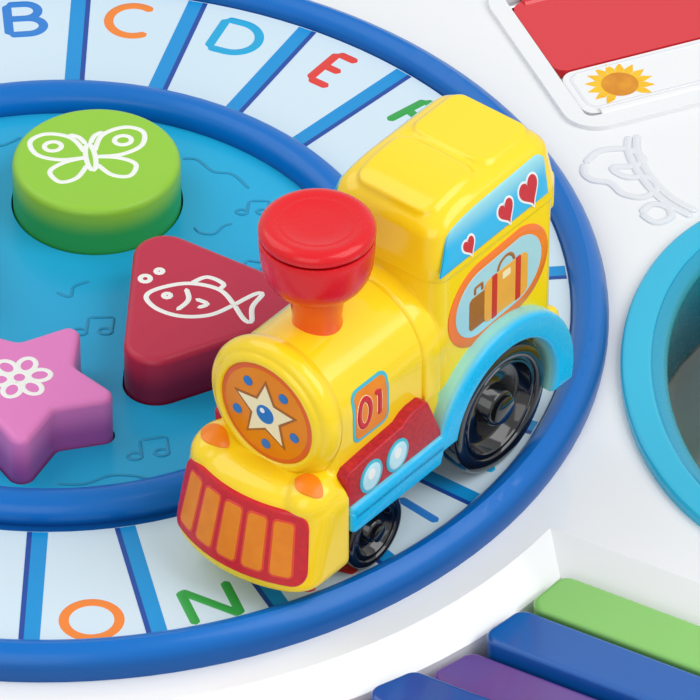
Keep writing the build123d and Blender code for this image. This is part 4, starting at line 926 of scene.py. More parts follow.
@dataclass(frozen=True)
class LetterTrack:
    """The blue rails and the printed sheet between them, with a letter in each of its fields."""

    fields: int = 26
    first_bar: float = -0.177
    bar_inner: float = 88.7
    bar_outer: float = 129.3
    bar_width: float = 5.0
    edge_width: float = 1.1
    letter_height: float = 12.9
    letter_width: float = 15.0
    stroke: float = 2.5
    letter_r: float = 119.7
    letter_r_swing: float = 1.8

    def build(self, frame: dict) -> None:
        """Dress the rails and print the sheet.

        Args:
            frame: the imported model.
        """
        dress(frame, Tones.rail, "track_ring")
        dress(frame, Tones.print_sheet, "letter_sheet")
        half = self.bar_width / 2
        spot = Spot(0, 0, TRACK, math.degrees(-self.first_bar))
        for name, left, right, rise, finish in (
                ("track_bars", -half, half, 0.08, Tones.bar),
                ("track_bar_edges", half - self.edge_width, half + 0.15, 0.11, Tones.bar_edge)):
            bars = repeated(name, slab(self._bar(left, right), -0.3, rise), self.fields, finish,
                            turn=-2 * math.pi / self.fields)
            piece(name, bars.placed(spot.put), finish, "table")
        for tint in Tint:
            colour = tint.name.lower()
            shade = Finish(tint.value, tint.value, 0.34, 0.15, name="letter_" + colour)
            drawn = Shape().plus(*(self._letter(letter, number, shade)
                                   for number, letter in enumerate(LETTERS)
                                   if TINT_RUN[number] == tint.name[0]))
            piece("letters_" + colour, drawn, shade, "table")

    def _bar(self, left: float, right: float) -> list[Point]:
        """A bar's outline across the sheet, its ends on the sheet's edges.

        Args:
            left: its left side, from the bar's middle line.
            right: its right side, from the bar's middle line.

        Returns:
            The outline.
        """
        inner = math.sqrt(self.bar_inner ** 2 - left ** 2)
        outer = math.sqrt(self.bar_outer ** 2 - right ** 2)
        return [(left, inner), (right, inner), (right, outer), (left, outer)]

    def _letter(self, letter: str, number: int, finish: Finish) -> Shape:
        """One letter in its field, its top outwards.

        Args:
            letter: which one.
            number: its place in the alphabet, from nought.
            finish: its surface.

        Returns:
            The letter in the table's frame.
        """
        turn = self.first_bar + (number - 0.5) * 2 * math.pi / self.fields
        paths = [[(x * self.letter_width, (y - 0.5) * self.letter_height) for x, y in path]
                 for path in LETTERS[letter]]
        drawn = strokes("letter_" + letter, paths, self.stroke, 0.14, finish,
                        LOOPED.get(letter, False), step=0.6)
        r = self.letter_r - self.letter_r_swing * math.cos(turn)
        spot = Spot(r * math.sin(turn), r * math.cos(turn), TRACK, -math.degrees(turn))
        return drawn.placed(spot.put)


# ---------------------------------------------------------------- the disc and its four shape buttons
@dataclass(frozen=True)
class ShapeButtons:
    """The turquoise disc with raised notes and waves, and four buttons with white line art on top."""

    line: float = 1.35
    line_rise: float = 0.12
    raised_line: float = 0.85
    raised: float = 0.3

    def build(self, frame: dict) -> None:
        """Dress the disc and the buttons and draw on them.

        Args:
            frame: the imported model.
        """
        dress(frame, Tones.disc, "centre_disc")
        self._ornaments()
        for name, finish, slot, (paths, loops), spot, size in (
                ("round", Tones.green, "green", self._butterfly(), Spot(9.5, 41, BLOCK_TOP, 6), 1.0),
                ("triangle", Tones.crimson, "crimson", self._fish(), Spot(35.5, -18.5, BLOCK_TOP, -14), 1.0),
                ("star", Tones.pink, "pink", self._flower(), Spot(-9.5, -46.5, BLOCK_TOP, 8), 0.62),
                ("square", Tones.orange_block, "orange", self._boat(), Spot(-40, 8.5, BLOCK_TOP, 15), 0.9)):
            dress(frame, finish, "button_" + name)
            dress(frame, Tones.steel, "spring_" + name)
            scaled = [[(x * size, y * size) for x, y in path] for path in paths]
            drawn = strokes("art_" + name, scaled, self.line, self.line_rise, Tones.line_art, loops)
            piece("art_" + name, drawn.placed(spot.put), Tones.line_art, "press_" + name)

    def _ornaments(self) -> None:
        """Lay raised waves and notes on the disc."""
        waves = [flowing(m) for m in (
            [(33, 56.5), (37, 56), (41, 51), (46, 49.5), (50, 43.5)],
            [(35.5, 28.5), (37, 26), (40.5, 25.5), (43, 28.5), (45.5, 29.5)],
            [(-1, -71), (6, -71.2), (12, -68.4), (18, -68.6), (23, -70.5)],
            [(0, 3.5), (3.5, 1.5), (4.5, 5.5), (8.5, 7.5)],
            [(-62, 26), (-57, 30), (-52, 28.5), (-47, 33), (-42, 33.5)],
            [(-66, -26), (-60, -24), (-56, -29), (-50, -28)],
            [(-46, -60), (-41, -57), (-37, -61), (-31, -60)],
            [(-26, 62), (-20, 65.5), (-14, 63.5), (-8, 67)])]
        lines: list[list[Point]] = list(waves)
        loops = [False] * len(waves)
        # two joined notes: two round heads, two stems and the beam
        note = [oval(-3.2, -2.6, 1.6, 1.15, 20), oval(2.6, -2.0, 1.6, 1.15, 20), [(-1.7, -2.4), (-1.7, 2.6)],
                [(4.1, -1.8), (4.1, 3.2)], [(-1.7, 2.6), (4.1, 3.2)]]
        for x, y, turn, size in (
                (51, 36, -8, .9), (9.5, -10, -6, 1.1), (22, -58, 4, 1.15), (49, 12, -20, .8),
                (-58, 6, 14, 1.0), (-36, 50, -12, 1.0), (-50, -44, 10, 1.0), (62, -34, 8, .9)):
            lines += [Spot(x, y, turn=turn).line([(px * size, py * size) for px, py in path])
                      for path in note]
            loops += [True, True, False, False, False]
        drawn = strokes("disc_ornaments", lines, self.raised_line, self.raised, Tones.disc_raised, loops)
        piece("disc_ornaments", drawn.placed(Spot(0, 0, DISC).put), Tones.disc_raised, "table")

    @staticmethod
    def _butterfly() -> tuple[list[list[Point]], list[bool]]:
        """A butterfly with open wings."""
        upper = flowing([(1.2, 1.5), (4, 8), (10, 10.5), (14.5, 8), (13.5, 2.5), (8, -0.5), (1.2, -0.5)])
        lower = flowing([(1.2, -0.5), (7, -1.8), (11, -5), (9, -9.5), (4.5, -8.5), (1.2, -3.5)])
        paths = [upper, lower]
        paths += [[(-x, y) for x, y in path] for path in (upper, lower)]
        paths += [oval(0, -0.6, 1.2, 5.4), flowing([(0.5, 4.8), (2, 8), (4.5, 9.5)]),
                  flowing([(-0.5, 4.8), (-2, 8), (-4.5, 9.5)]), oval(9, 5.2, 2.2, 1.9),
                  oval(-9, 5.2, 2.2, 1.9)]
        return paths, [False] * 4 + [True, False, False, True, True]

    @staticmethod
    def _fish() -> tuple[list[list[Point]], list[bool]]:
        """A plain fish with two bubbles."""
        body = flowing([(9, 0.5), (4, 5.6), (-4, 6.4), (-11, 2.8), (-13.2, -1), (-9.5, -5), (-3, -6.6),
                        (4, -4.6), (9, 0.5)])
        tail = flowing([(9, 0.5), (13, 5.5), (15, 6), (13.6, 0.6), (14.6, -5), (12.6, -4.6), (9, 0.5)])
        paths = [body, tail, oval(-8.2, 0.6, 0.9, 0.9, 16), flowing([(-4.2, 4.4), (-2.6, 0), (-4.6, -4.6)]),
                 flowing([(-1, 0.8), (2.4, -0.6), (0.2, -2.6)]),
                 flowing([(-3.5, 6.4), (0, 9.8), (4.6, 8), (4, 5.6)]),
                 oval(-15, 6, 1.3, 1.3, 18), oval(-12.2, 9.6, 0.9, 0.9, 16)]
        return paths, [False, False, True, False, False, False, True, True]

    @staticmethod
    def _flower() -> tuple[list[list[Point]], list[bool]]:
        """A flower of six petals."""
        paths = [oval(0, 0, 3.4, 3.4, 24)]
        for i in range(6):
            turn = math.radians(60 * i)
            spot = Spot(8.2 * math.cos(turn), 8.2 * math.sin(turn), turn=60 * i)
            paths.append(spot.line(oval(0, 0, 4.4, 3.5, 24)))
        return paths, [True] * 7

    @staticmethod
    def _boat() -> tuple[list[list[Point]], list[bool]]:
        """A small sailing boat."""
        hull = [(-10, -3), (10, -3), (7, -8), (-7, -8)]
        sails = [[(1.4, 9), (1.4, -0.6), (8.6, -0.6)], [(-1.4, 7), (-1.4, -0.6), (-7, -0.6)]]
        sea = flowing([(-12, -11), (-8, -9.6), (-4, -11), (0, -9.6), (4, -11), (8, -9.6), (12, -11)])
        return [hull, [(0, -3), (0, 10)], *sails, sea], [True, False, True, True, False]


# ---------------------------------------------------------------- the train
@dataclass(frozen=True)
class Train:
    """The engine that runs on the letter track, with its funnel button and its four wheels.

    Its own frame: x forwards, y to its left, z up from the track.
    """

    orbit: float = 106.0
    bearing: float = 131.5
    side: float = 17.5
    boiler_z: float = 49.0
    boiler_front: float = 44.0
    cab_front: float = 1.5
    cab_rear: float = -46.0
    cab_top: float = 73.5
    roof_top: float = 88.0
    roof_out: float = 0.6
    roof_round: float = 5.0
    taper: float = 8.0
    front_axle: float = 27.0
    rear_axle: float = -21.5
    front_r: float = 10.5
    rear_r: float = 18.0
    wheel_out: float = 20.0
    wheel_width: float = 6.0
    nose_centre: float = 22.2
    nose_r: float = 39.0
    bumper_side: float = 21.5
    bumper_corner: float = 8.0
    bumper_low: float = 8.5
    bumper_high: float = 34.5
    lean: float = 6.5
    funnel_x: float = 25.5
    tank_low: float = 22.4
    ear_half: float = 4.6
    ear_out: float = 13.2
    ear_thick: float = 2.6
    board_top: float = 26.5
    board_low: float = 21.2
    arch_inner_r: float = 19.4
    arch_outer_r: float = 26.9
    arch_foot: float = 12.0
    droop: float = 3.4
    wheel_gap: float = 0.25
    lamp_at: Point3 = (44.6, 14.4, 30.8)
    lamp_radii: Point3 = (8.6, 6.6, 6.3)

    def to_table(self, x: float, y: float, z: float) -> Point3:
        """Send a point of the train's own frame to the table's."""
        b = math.radians(self.bearing)
        h = math.pi - b
        fx, fy = -math.cos(h), -math.sin(h)
        return (self.orbit * math.sin(b) + fx * x - fy * y, self.orbit * math.cos(b) + fy * x + fx * y,
                TRACK + z)

    def _add(self, name: str, shape: Shape, finish: Finish, stands_for: Sequence[str] = (),
             body: str = "train", crease: float = 38.0) -> None:
        """Place a piece made in the train's own frame.

        Args:
            name: the piece's name.
            shape: its form, in millimetres.
            finish: its surface.
            stands_for: solids that it replaces.
            body: the body it moves with.
            crease: angle in degrees above which an edge stays sharp.
        """
        piece(name, shape.placed(self.to_table), finish, body, stands_for, crease)

    def build(self, frame: dict) -> None:
        """Build and dress the whole engine.

        Args:
            frame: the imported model.
        """
        dress(frame, Tones.black, "train_base_plate")
        dress(frame, Tones.steel, "train_screws", "train_funnel_spring", "train_front_axle",
              "train_rear_axle")
        self._body()
        self._roof()
        self._boiler_trim()
        self._bumper_trim()
        self._funnel()
        for number, side in SIDES:
            self._flank(number, side)
            self._wheel("front", number, side, self.front_axle, self.front_r)
            self._wheel("rear", number, side, self.rear_axle, self.rear_r)

    # -- yellow body
    def _body(self) -> None:
        """The cab, boiler, tank and bumper as one soft moulding."""
        middle, length = (self.cab_front + self.cab_rear) / 2, self.cab_front - self.cab_rear
        cab = slab(rounded(middle, 0, length, 2 * self.side, 5), self.tank_low, self.cab_top + 1.5, top=1.0)
        well = oval(self.rear_axle, self.rear_r, self.arch_inner_r, self.arch_inner_r, 64)
        wells = [self._across(well, 13.5 * side, 26.0 * side) for _, side in SIDES]
        boiler = lathe([(-2, 0), (-2, self.side), (39.5, self.side), (39.5, 0)], 96).placed(self._ahead)
        tank = slab(rounded(20, 0, 41, 2 * self.side, 1.5), self.tank_low, self.boiler_z)
        lug = slab(rounded(self.cab_rear - 0.3, 0, 4.4, 30, 1.8), 62, 74, top=1.5, bottom=1.5)
        parts = [cab, boiler, tank, self._bumper(), lug]
        for _, side in SIDES:
            parts.append(ellipsoid(self._lamp(side), self.lamp_radii))
            parts.append(ellipsoid((self.cab_rear + 0.6, 16.0 * side, 30.0), (2.4, 2.2, 3.4), 12))
            inner, outer = (self.ear_out - self.ear_thick) * side, self.ear_out * side
            for axle, low in ((self.front_axle, self.front_r), (self.rear_axle, self.rear_r)):
                half = self.ear_half
                ear = [(axle - half, 25), *arc(axle, low, half, half, 180, 360, 14), (axle + half, 25)]
                parts.append(self._across(ear, inner, outer))
        skin = soft_union("train_shell", parts, 0.62, 7, cuts=wells)
        self._add("train_shell", skin, Tones.yellow, ["train_body"], crease=60)

    @staticmethod
    def _across(outline: Sequence[Point], y0: float, y1: float) -> Shape:
        """A plate whose outline stands in the train's side view."""
        return slab(outline, min(y0, y1), max(y0, y1)).placed(lambda x, z, y: (x, y, z))

    @staticmethod
    def _beside(side: int) -> Place:
        """The mapping of a flat drawing, seen from the side, onto one side of the train."""
        return lambda x, z, y: (x, side * y, z)

    def _ahead(self, x: float, y: float, z: float) -> Point3:
        """Lay an upright turned form down along the boiler's middle line."""
        return z, y, self.boiler_z + x

    def _lamp(self, side: int) -> Point3:
        """The middle of a lamp on one side."""
        return self.lamp_at[0], self.lamp_at[1] * side, self.lamp_at[2]

    def _nose(self, shrink: float, z: float) -> list[Point3]:
        """The bumper's outline at one height.

        Args:
            shrink: how far it lies inside the widest outline.
            z: the height.

        Returns:
            The ring of points.
        """
        r, c = self.nose_r - shrink, self.bumper_corner
        side = self.bumper_side - shrink
        cx = self.nose_centre + math.sqrt((r - c) ** 2 - (side - c) ** 2)
        turn = math.degrees(math.atan2(side - c, cx - self.nose_centre))
        outline = [*arc(cx, side - c, c, c, 90, turn, 8)[:-1],
                   *arc(self.nose_centre, 0, r, r, turn, -turn, 24),
                   *arc(cx, -(side - c), c, c, -turn, -90, 8)[1:]]
        back = 39.0 + 0.3 * shrink
        shift = self.lean * (z - self.bumper_low) / (self.bumper_high - self.bumper_low)
        points = [(max(x - shift, back), y, z) for x, y in outline]
        return [(back, -side, z), (back, side, z), *points][::-1]

    def _bumper(self) -> Shape:
        """The leaning, rounded bumper block."""
        levels = [(2.2, 8.5), (0.7, 9.1), (0.0, 10.6), (0.0, 14), (0.0, 18), (0.0, 22), (0.0, 26),
                  (0.0, 29.6), (0.5, 31.6), (1.6, 33.2), (3.4, 34.3), (5.4, 34.7)]
        return rings([self._nose(shrink, z) for shrink, z in levels])

    # -- roof
    def _roof_side(self, z: float) -> float:
        """Half the roof's width.

        Args:
            z: the height that it is asked for.

        Returns:
            The distance from the train's middle line.
        """
        lean = math.tan(math.radians(self.taper))
        turn = self.roof_top - self.roof_round
        if z <= turn:
            return self.side + self.roof_out - max(0.0, z - self.cab_top) * lean
        base = self.side + self.roof_out - (turn - self.cab_top) * lean
        rise = min(z - turn, self.roof_round)
        return base - self.roof_round + math.sqrt(self.roof_round ** 2 - rise ** 2)

    def _drooped(self, x: float, z: float) -> float:
        """The height of a point of the roof, whose front end droops."""
        along = max(0.0, x + 16.0) / 16.5
        return z - self.droop * along ** 2 * max(0.0, z - self.cab_top) / 14.4

    def _roof(self) -> None:
        """The tapered roof with its two raised panels, and the cyan panel with hearts on each side."""
        levels = [69.4, self.cab_top, 77, 80, 83, 84.3, 85.5, 86.6, 87.4, 87.9]
        middle = (self.cab_front + self.cab_rear) / 2
        length = self.cab_front - self.cab_rear + 2 * self.roof_out
        stack = []
        for z in levels:
            half = self._roof_side(z)
            less = self.side + self.roof_out - half
            ring = rounded(middle, 0, length - 2 * less, 2 * half, 5.2, 4)
            stack.append([(x, y, z) for x, y in ring])
        panels = [slab(rounded(x, 0, 19.0, 23.5, 3.4), 84, 89.2, top=0.7)
                  for x in (middle - 10.6, middle + 10.6)]
        crown = ellipsoid((middle, 0, 84.5), (22, 14.2, 4.0), 16)
        skin = soft_union("train_roof_skin", [rings(stack), *panels, crown], 0.55, 4)
        limit = self.roof_top + 1.2
        skin = Shape([(x, y, min(self._drooped(x, z), limit)) for x, y, z in skin.points], skin.faces)
        self._add("train_roof_shell", skin, Tones.yellow, ["train_roof"], crease=60)
        # the side panel turns paler towards its top: painted highlight
        gradient = Finish("0BB6EA", "1ABDEB", 0.24, 0.4, name="roof_panel",
                          fade=Fade("9ADDE8", (0, 0, 1), TRACK + 78.0, TRACK + 85.0))
        panel = inlay(self._panel_outline(), 0.30, 0.3, (-20.5, 80.0), fills=8, soft=0.2)
        c, s = math.cos(-0.25), math.sin(-0.25)
        for number, side in SIDES:
            def put(u: float, v: float, lift: float, side: int = side) -> Point3:
                """Lay a flat drawing on the roof's side."""
                return u, side * (self._roof_side(v) + lift), self._drooped(u, v)
            self._add(f"roof_panel_{number}", panel.placed(put), gradient)
            white, red = Shape(), Shape()
            for x, z, width, height in (
                    (-10.0, 75.6, 4.2, 5.6), (-24.6, 77.0, 5.6, 7.2), (-33.6, 77.6, 7.0, 9.0)):
                placed = [(x + (px * c - py * s), z + (px * s + py * c))
                          for px, py in heart(0, 0, width, height)]
                white = white.plus(inlay(inset(turned_round(placed), -0.55), 0.42, 0.1, (x, z), soft=0.05))
                red = red.plus(inlay(placed, 0.52, 0.1, (x, z), soft=0.05))
            self._add(f"heart_edges_{number}", white.placed(put), Tones.print_white)
            self._add(f"hearts_{number}", red.placed(put), Tones.print_red)

    @staticmethod
    def _panel_outline() -> list[Point]:
        """The roof-side panel's outline: long low edge, slanted front, round upper corners."""
        return [*[(1.2 - 41.8 * i / 20, 72.4 + 0.9 * i / 20) for i in range(21)],
                *[(-40.6 + 0.2 * i / 6, 73.3 + 9.4 * i / 6) for i in range(1, 6)],
                *arc(-37.4, 82.7, 3.0, 2.8, 180, 90, 6),
                *[(-37.4 + 31.5 * i / 16, 85.5 - 1.0 * i / 16) for i in range(1, 16)],
                *arc(-5.4, 81.4, 3.0, 3.0, 95, 30, 5),
                *[(-2.7 + 3.9 * i / 6, 82.9 - 10.5 * i / 6) for i in range(1, 6)]]

    # -- boiler
    def _on_boiler(self, side: int, x0: float, z0: float) -> Place:
        """The mapping of a flat drawing onto the boiler's flank, seen from outside.

        Args:
            side: 1 for the left flank, -1 for the right one.
            x0: the drawing's middle along the train.
            z0: the drawing's middle in height, on the flank unrolled.

        Returns:
            The mapping.
        """
        def put(u: float, v: float, lift: float) -> Point3:
            """Bend a point of the drawing round the boiler above its middle line."""
            s, r = z0 - self.boiler_z + v, self.side + lift
            x = x0 - side * u
            if s <= 0:
                return x, side * r, self.boiler_z + s
            return x, side * r * math.cos(s / self.side), self.boiler_z + r * math.sin(s / self.side)
        return put

    def _boiler_trim(self) -> None:
        """The stepped rims round the smokebox door, the door's badge, the collar and the number plates."""
        front = self.boiler_front
        rim = lathe([(36.4, 0), (36.4, 17.0), (37.4, 17.8), (38.8, 18.7), (40.2, 19.2), (41.6, 19.2),
                     (42.8, 18.7), (43.6, 17.9), (44.0, 17.1), (44.05, 16.7), (44.35, 16.5), (44.9, 15.9),
                     (45.15, 15.2), (45.15, 14.7), (44.9, 14.2), (44.4, 14.05), (front, 13.9),
                     (front, 0)], 96)
        self._add("smokebox_rim", rim.placed(self._ahead), Tones.yellow, crease=50)
        loop = [*arc(0, self.boiler_z, 18.3, 18.3, 0, 180, 60), (-18.3, 40.0), (-18.3, 37.6), (18.3, 37.6),
                (18.3, 40.0)]
        collar = slab(loop, 0.6, 7.0, top=1.1, bottom=0.4).placed(lambda y, z, x: (x, y, z))
        self._add("boiler_collar", collar, Tones.yellow, crease=50)
        ring = lathe([(front - 0.6, 0), (front - 0.6, 14.0), (front + 0.45, 14.0), (front + 0.6, 13.8),
                      (front + 0.6, 0)])
        self._add("badge_ring", ring.placed(self._ahead), Tones.badge_ring, ["train_badge"])
        disc = lathe([(front, 0), (front, 12.7), (front + 0.68, 12.7), (front + 0.78, 12.5),
                      (front + 0.95, 6.0), (front + 1.0, 0)])
        self._add("badge_disc", disc.placed(self._ahead), Tones.badge_orange)
        dots = repeated("badge_dot", inlay(oval(0, -9.3, 1.35, 1.35, 20), 0.2, soft=0.1), 5, Tones.print_blue,
                        turn=2 * math.pi / 5)
        for name, shape, finish in (
                ("badge_star_edge", inlay(star(10.2, 5.0), 0.14, soft=0.1), Tones.brown),
                ("badge_star", inlay(star(8.9, 4.2), 0.24, soft=0.1), Tones.cream),
                ("badge_middle", inlay(oval(0, 0, 2.7, 2.7), 0.34, soft=0.1), Tones.print_blue),
                ("badge_dots", dots, Tones.print_blue),
                # badge_glint is a painted highlight on the badge's blue middle
                ("badge_glint", inlay(oval(-0.8, 0.9, 0.8, 0.8, 20), 0.42, soft=0.1), Tones.print_white)):
            on_badge = shape.placed(lambda u, v, lift: (front + 0.95 + lift, u, self.boiler_z + v))
            self._add(name, on_badge, finish)
        for number, side in SIDES:
            put = self._on_boiler(side, 26.5, 48.4)
            for name, outline, rise, finish in (
                    ("plate_edge", rounded(0, 0, 13.6, 15.6, 2.6), 0.16, Tones.print_cyan),
                    ("plate", rounded(0, 0, 11.8, 13.8, 2.0), 0.26, Tones.slot_orange)):
                self._add(f"{name}_{number}", inlay(outline, rise, soft=0.08).placed(put), finish)
            digits = [oval(-2.5, 0, 2.1, 4.0, 28), [(1.4, 2.7), (3.1, 4.0)], [(3.1, 4.0), (3.1, -4.0)]]
            for name, width, rise, finish in (("digit_edges", 3.0, 0.36, Tones.cream),
                                              ("digits", 2.0, 0.50, Tones.print_red)):
                drawn = strokes(name, digits, width, rise, finish, [True, False, False], step=0.4)
                self._add(f"{name}_{number}", drawn.placed(put), finish)

    # -- bumper
    def _on_nose(self, s: float, z: float, lift: float) -> Point3:
        """Send a point of a flat drawing onto the bumper's leaning front.

        Args:
            s: its place across, along the curved front.
            z: its height.
            lift: how far it stands out from the front.

        Returns:
            The point in the train's own frame.
        """
        c = self.bumper_corner
        inner = self.bumper_side - c
        cx = self.nose_centre + math.sqrt((self.nose_r - c) ** 2 - inner ** 2)
        turn = math.atan2(inner, cx - self.nose_centre)
        reach, sign = abs(s), 1 if s >= 0 else -1
        shift = self.lean * (z - self.bumper_low) / (self.bumper_high - self.bumper_low)
        if reach <= self.nose_r * turn:
            a, r = reach / self.nose_r, self.nose_r + lift
            return self.nose_centre + r * math.cos(a) - shift, sign * r * math.sin(a), z
        a = turn + (reach - self.nose_r * turn) / c
        return cx + (c + lift) * math.cos(a) - shift, sign * (inner + (c + lift) * math.sin(a)), z

    def _bumper_trim(self) -> None:
        """The red grille with its five orange slots, and the two lamps."""
        def tapered(u: float, v: float, lift: float) -> Point3:
            """Lay a flat drawing on the bumper's front, narrower towards its top."""
            share = (v - 10.8) / 20.4
            return self._on_nose(u * (1.0 - 0.12 * share), v, lift)
        grille = inlay(rounded(0, 21.4, 43.6, 19.4, 3.8, 14), 0.75, fills=14, soft=0.35)
        self._add("grille", grille.placed(tapered), Tones.grille_red, ["train_grille"])
        for name, piece_name, width, height, r, rise, finish, slot in (
                ("slot_edges", "slot_edges", 6.7, 15.4, 1.6, 0.84, Tones.slot_line, "red"),
                ("slots", "grille_slots", 5.6, 14.3, 1.1, 0.95, Tones.slot_orange, "orange")):
            bars = repeated(name, inlay(rounded(-15.2, 21.4, width, height, r), rise, soft=0.1), 5, finish,
                            step=(7.6, 0, 0))
            self._add(piece_name, bars.placed(tapered), finish)
        lamp = flowing([(-4.4, 0.2), (-2.6, 2.9), (1.2, 3.2), (4.4, 1.2), (6.2, -1.4), (3.6, -2.7),
                        (-1.4, -2.5), (-4.4, 0.2)], 5)[:-1]
        for number, side in SIDES:
            def put(u: float, v: float, lift: float, side: int = side) -> Point3:
                """Lay a flat drawing on a lamp, towards the front and up."""
                ahead = Vector((0.42, 0.06 * side, 0.90)).normalized()
                across = Vector((-0.1, 1, 0)).normalized()
                up = ahead.cross(across).normalized()
                aim = ahead * 6.6 + across * u + up * v
                unit = Vector([c / r for c, r in zip(aim, self.lamp_radii)]).normalized()
                return tuple(c + n * (r + lift) for c, n, r in zip(self._lamp(side), unit, self.lamp_radii))
            self._add(f"lamp_{number}", inlay(lamp, 0.35, 0.8, (0, 0), soft=0.1).placed(put),
                      Tones.lamp_orange)

    # -- funnel
    def _funnel(self) -> None:
        """The funnel and the cap that presses in."""
        stand = Spot(self.funnel_x, 0).put
        stem = lathe([(64.5, 0), (64.5, 6.4), (66.5, 6.1), (68.5, 6.1), (71.5, 6.5), (74.5, 7.2), (77.0, 7.9),
                      (77.8, 8.3), (77.8, 0)])
        self._add("funnel_stem", stem.placed(stand), Tones.funnel_stem, ["train_funnel"], crease=50)
        bowl = lathe([(76.5, 0), (76.5, 7.4), (76.6, 8.4), (77.0, 9.4), (78.0, 10.6), (79.6, 11.9),
                      (81.6, 12.9), (84.0, 13.5), (87.0, 13.85), (90.0, 14.0), (91.7, 14.0), (92.0, 13.85),
                      (92.0, 13.35), (90.8, 13.3), (90.8, 0)], 96)
        self._add("funnel_bowl", bowl.placed(stand), Tones.funnel, crease=50)
        cap = lathe([(92.1, 0), (92.1, 13.1), (93.05, 13.1), (93.05, 14.05), (93.2, 14.1), (94.2, 14.1),
                     (95.0, 13.8), (95.7, 13.1), (96.1, 12.2), (96.2, 11.4), (96.1, 10.4), (95.9, 9.6),
                     (95.85, 9.2), (95.95, 8.9), (95.8, 8.5), (95.6, 5.0), (95.55, 0)], 96)
        self._add("funnel_cap", cap.placed(stand), Tones.funnel, ["train_funnel_cap"],
                  body="funnel_cap", crease=50)

    # -- flanks
    def _flank(self, number: str, side: int) -> None:
        """One side's wheel arch and running board, red deck, portholes and window.

        Args:
            number: the side's name.
            side: 1 for the left side, -1 for the right one.
        """
        r_in, r_out, x0, z0 = self.arch_inner_r, self.arch_outer_r, self.rear_axle, self.rear_r
        foot, join, foot_in, join_in = (
            math.degrees(math.asin((z - z0) / r))
            for z, r in ((self.arch_foot, r_out), (self.board_top, r_out), (self.arch_foot, r_in),
                         (self.board_low, r_in)))
        outline = [*arc(x0, z0, r_out, r_out, 180 - foot, join, 40),
                   (16.0, self.board_top), (30.0, self.board_top), *arc(37.3, 25.1, 1.4, 1.4, 90, 0, 4),
                   *arc(37.3, 22.6, 1.4, 1.4, 0, -90, 4), (30.0, self.board_low), (12.0, self.board_low),
                   *arc(x0, z0, r_in, r_in, join_in, 180 - foot_in, 40)]
        ring = turned_round(outline)
        levels = [(0.0, 14.6), (0.0, 20.4), (0.15, 21.0), (0.5, 21.6), (1.0, 21.9), (1.5, 22.0)]
        stack = [[(x, side * y, z) for x, z in (inset(ring, by) if by else ring)] for by, y in levels]
        b = math.radians(self.bearing)
        fx, fy = math.cos(b), -math.sin(b)
        outwards = (-fy * side, fx * side, 0.0)
        middle = self.orbit * (math.sin(b) * outwards[0] + math.cos(b) * outwards[1])
        # the arch and board skirt turn pale inwards from their outer face, over all edge faces, top included:
        # painted highlight standing for the lit top face
        finish = Finish("00BAF2", "04BEF2", 0.26, 0.15, name="arch_" + number,
                        fade=Fade("9ADFD6", tuple(-c for c in outwards), -(middle + 22.1), -(middle + 19.6)))
        self._add("arch_" + number, rings(stack), finish, ["train_fender_" + number], crease=45)
        skirt = [*arc(36.8, 20.2, 2.0, 2.0, 0, -90, 8), (4.4, 18.2), (2.6, 24.6), (38.8, 24.6)]
        self._add("board_skirt_" + number, slab(skirt, 20.4, 22.0, top=0.9).placed(self._beside(side)),
                  finish, crease=45)
        deck_out = 20.9
        deck = [(39.2, 26.2), (39.6, 35.6), (38.2, 37.2), (30.0, 37.9), (18.4, 38.6), (16.0, 40.0),
                (13.8, 40.6), (9.6, 40.6), (8.2, 39.6), (3.2, 27.4), (3.2, 26.2)]
        self._add("deck_" + number, slab(deck, 16.6, deck_out, top=0.8).placed(self._beside(side)),
                  Tones.grained_red, ["train_deck_" + number], crease=30)

        def on_flank(x: float, y: float, z: float) -> Place:
            """The mapping of a flat drawing, seen from outside, onto the flank."""
            return lambda u, v, lift: (x - side * u, side * (y + lift), z + v)
        for name, u in (("front", -5.0 * side), ("rear", 5.0 * side)):
            for part, outline, rise, soft, paint in (
                    ("port_rim", oval(u, 0, 4.2, 4.7), 0.35, 0.3, Tones.print_cyan),
                    ("port", oval(u, 0, 3.4, 3.9), 0.62, 0.45, Tones.port),
                    # port_glint is a painted highlight on each porthole
                    ("port_glint", oval(u - 0.4 * side, 1.2, 1.4, 1.7, 20), 0.70, 0.1, Tones.print_white)):
                patch = inlay(outline, rise, soft=soft).placed(on_flank(25.6, deck_out, 31.4))
                self._add(f"{part}_{name}_{number}", patch, paint)
        self._window(number, on_flank(-22.3, self.side, 55.5))

    def _window(self, number: str, put: Place) -> None:
        """A round-ended window with luggage behind it.

        Args:
            number: the side's name.
            put: the mapping of a flat drawing onto the cab's side.
        """
        frame_line = [*arc(6.4, 0.2, 13.0, 12.6, -82, 82, 20), *arc(-6.4, -0.6, 13.0, 12.6, 98, 262, 20)]
        ring = inlay(frame_line, 0.22, fills=6, soft=0.12)
        glass = inlay(inset(turned_round(frame_line), 2.7), 0.34, fills=6, soft=0.1)
        self._add("window_ring_" + number, ring.placed(put), Tones.window_ring)
        self._add("window_pane_" + number, glass.placed(put), Tones.pane)
        layers = [
            ("case_back", [rounded(-6.6, -2.6, 10.0, 10.0, 1.4)], 0.46, Tones.brown),
            ("case", [rounded(2.6, -2.0, 17.0, 13.0, 2.2)], 0.54, Tones.tan),
            ("straps", [rounded(x, -2.0, 2.1, 13.2, 0.3) for x in (-2.0, 7.2)], 0.62, Tones.print_red),
            ("case_lock", [rounded(2.6, 2.4, 3.2, 2.2, 0.4)], 0.62, Tones.cream),
        ]
        for name, outlines, rise, finish in layers:
            shape = Shape().plus(*(inlay(o, rise, soft=0.08) for o in outlines))
            self._add(f"{name}_{number}", shape.placed(put), finish)
        grips = [arc(2.6, 4.4, 3.2, 3.4, 0, 180), [(-9.4, 2.6), (-9.4, 5.0), (-6.6, 5.0), (-6.6, 2.6)]]
        handle = strokes("handle", grips, 1.2, 0.6, Tones.brown, step=0.5)
        self._add("handles_" + number, handle.placed(put), Tones.brown)

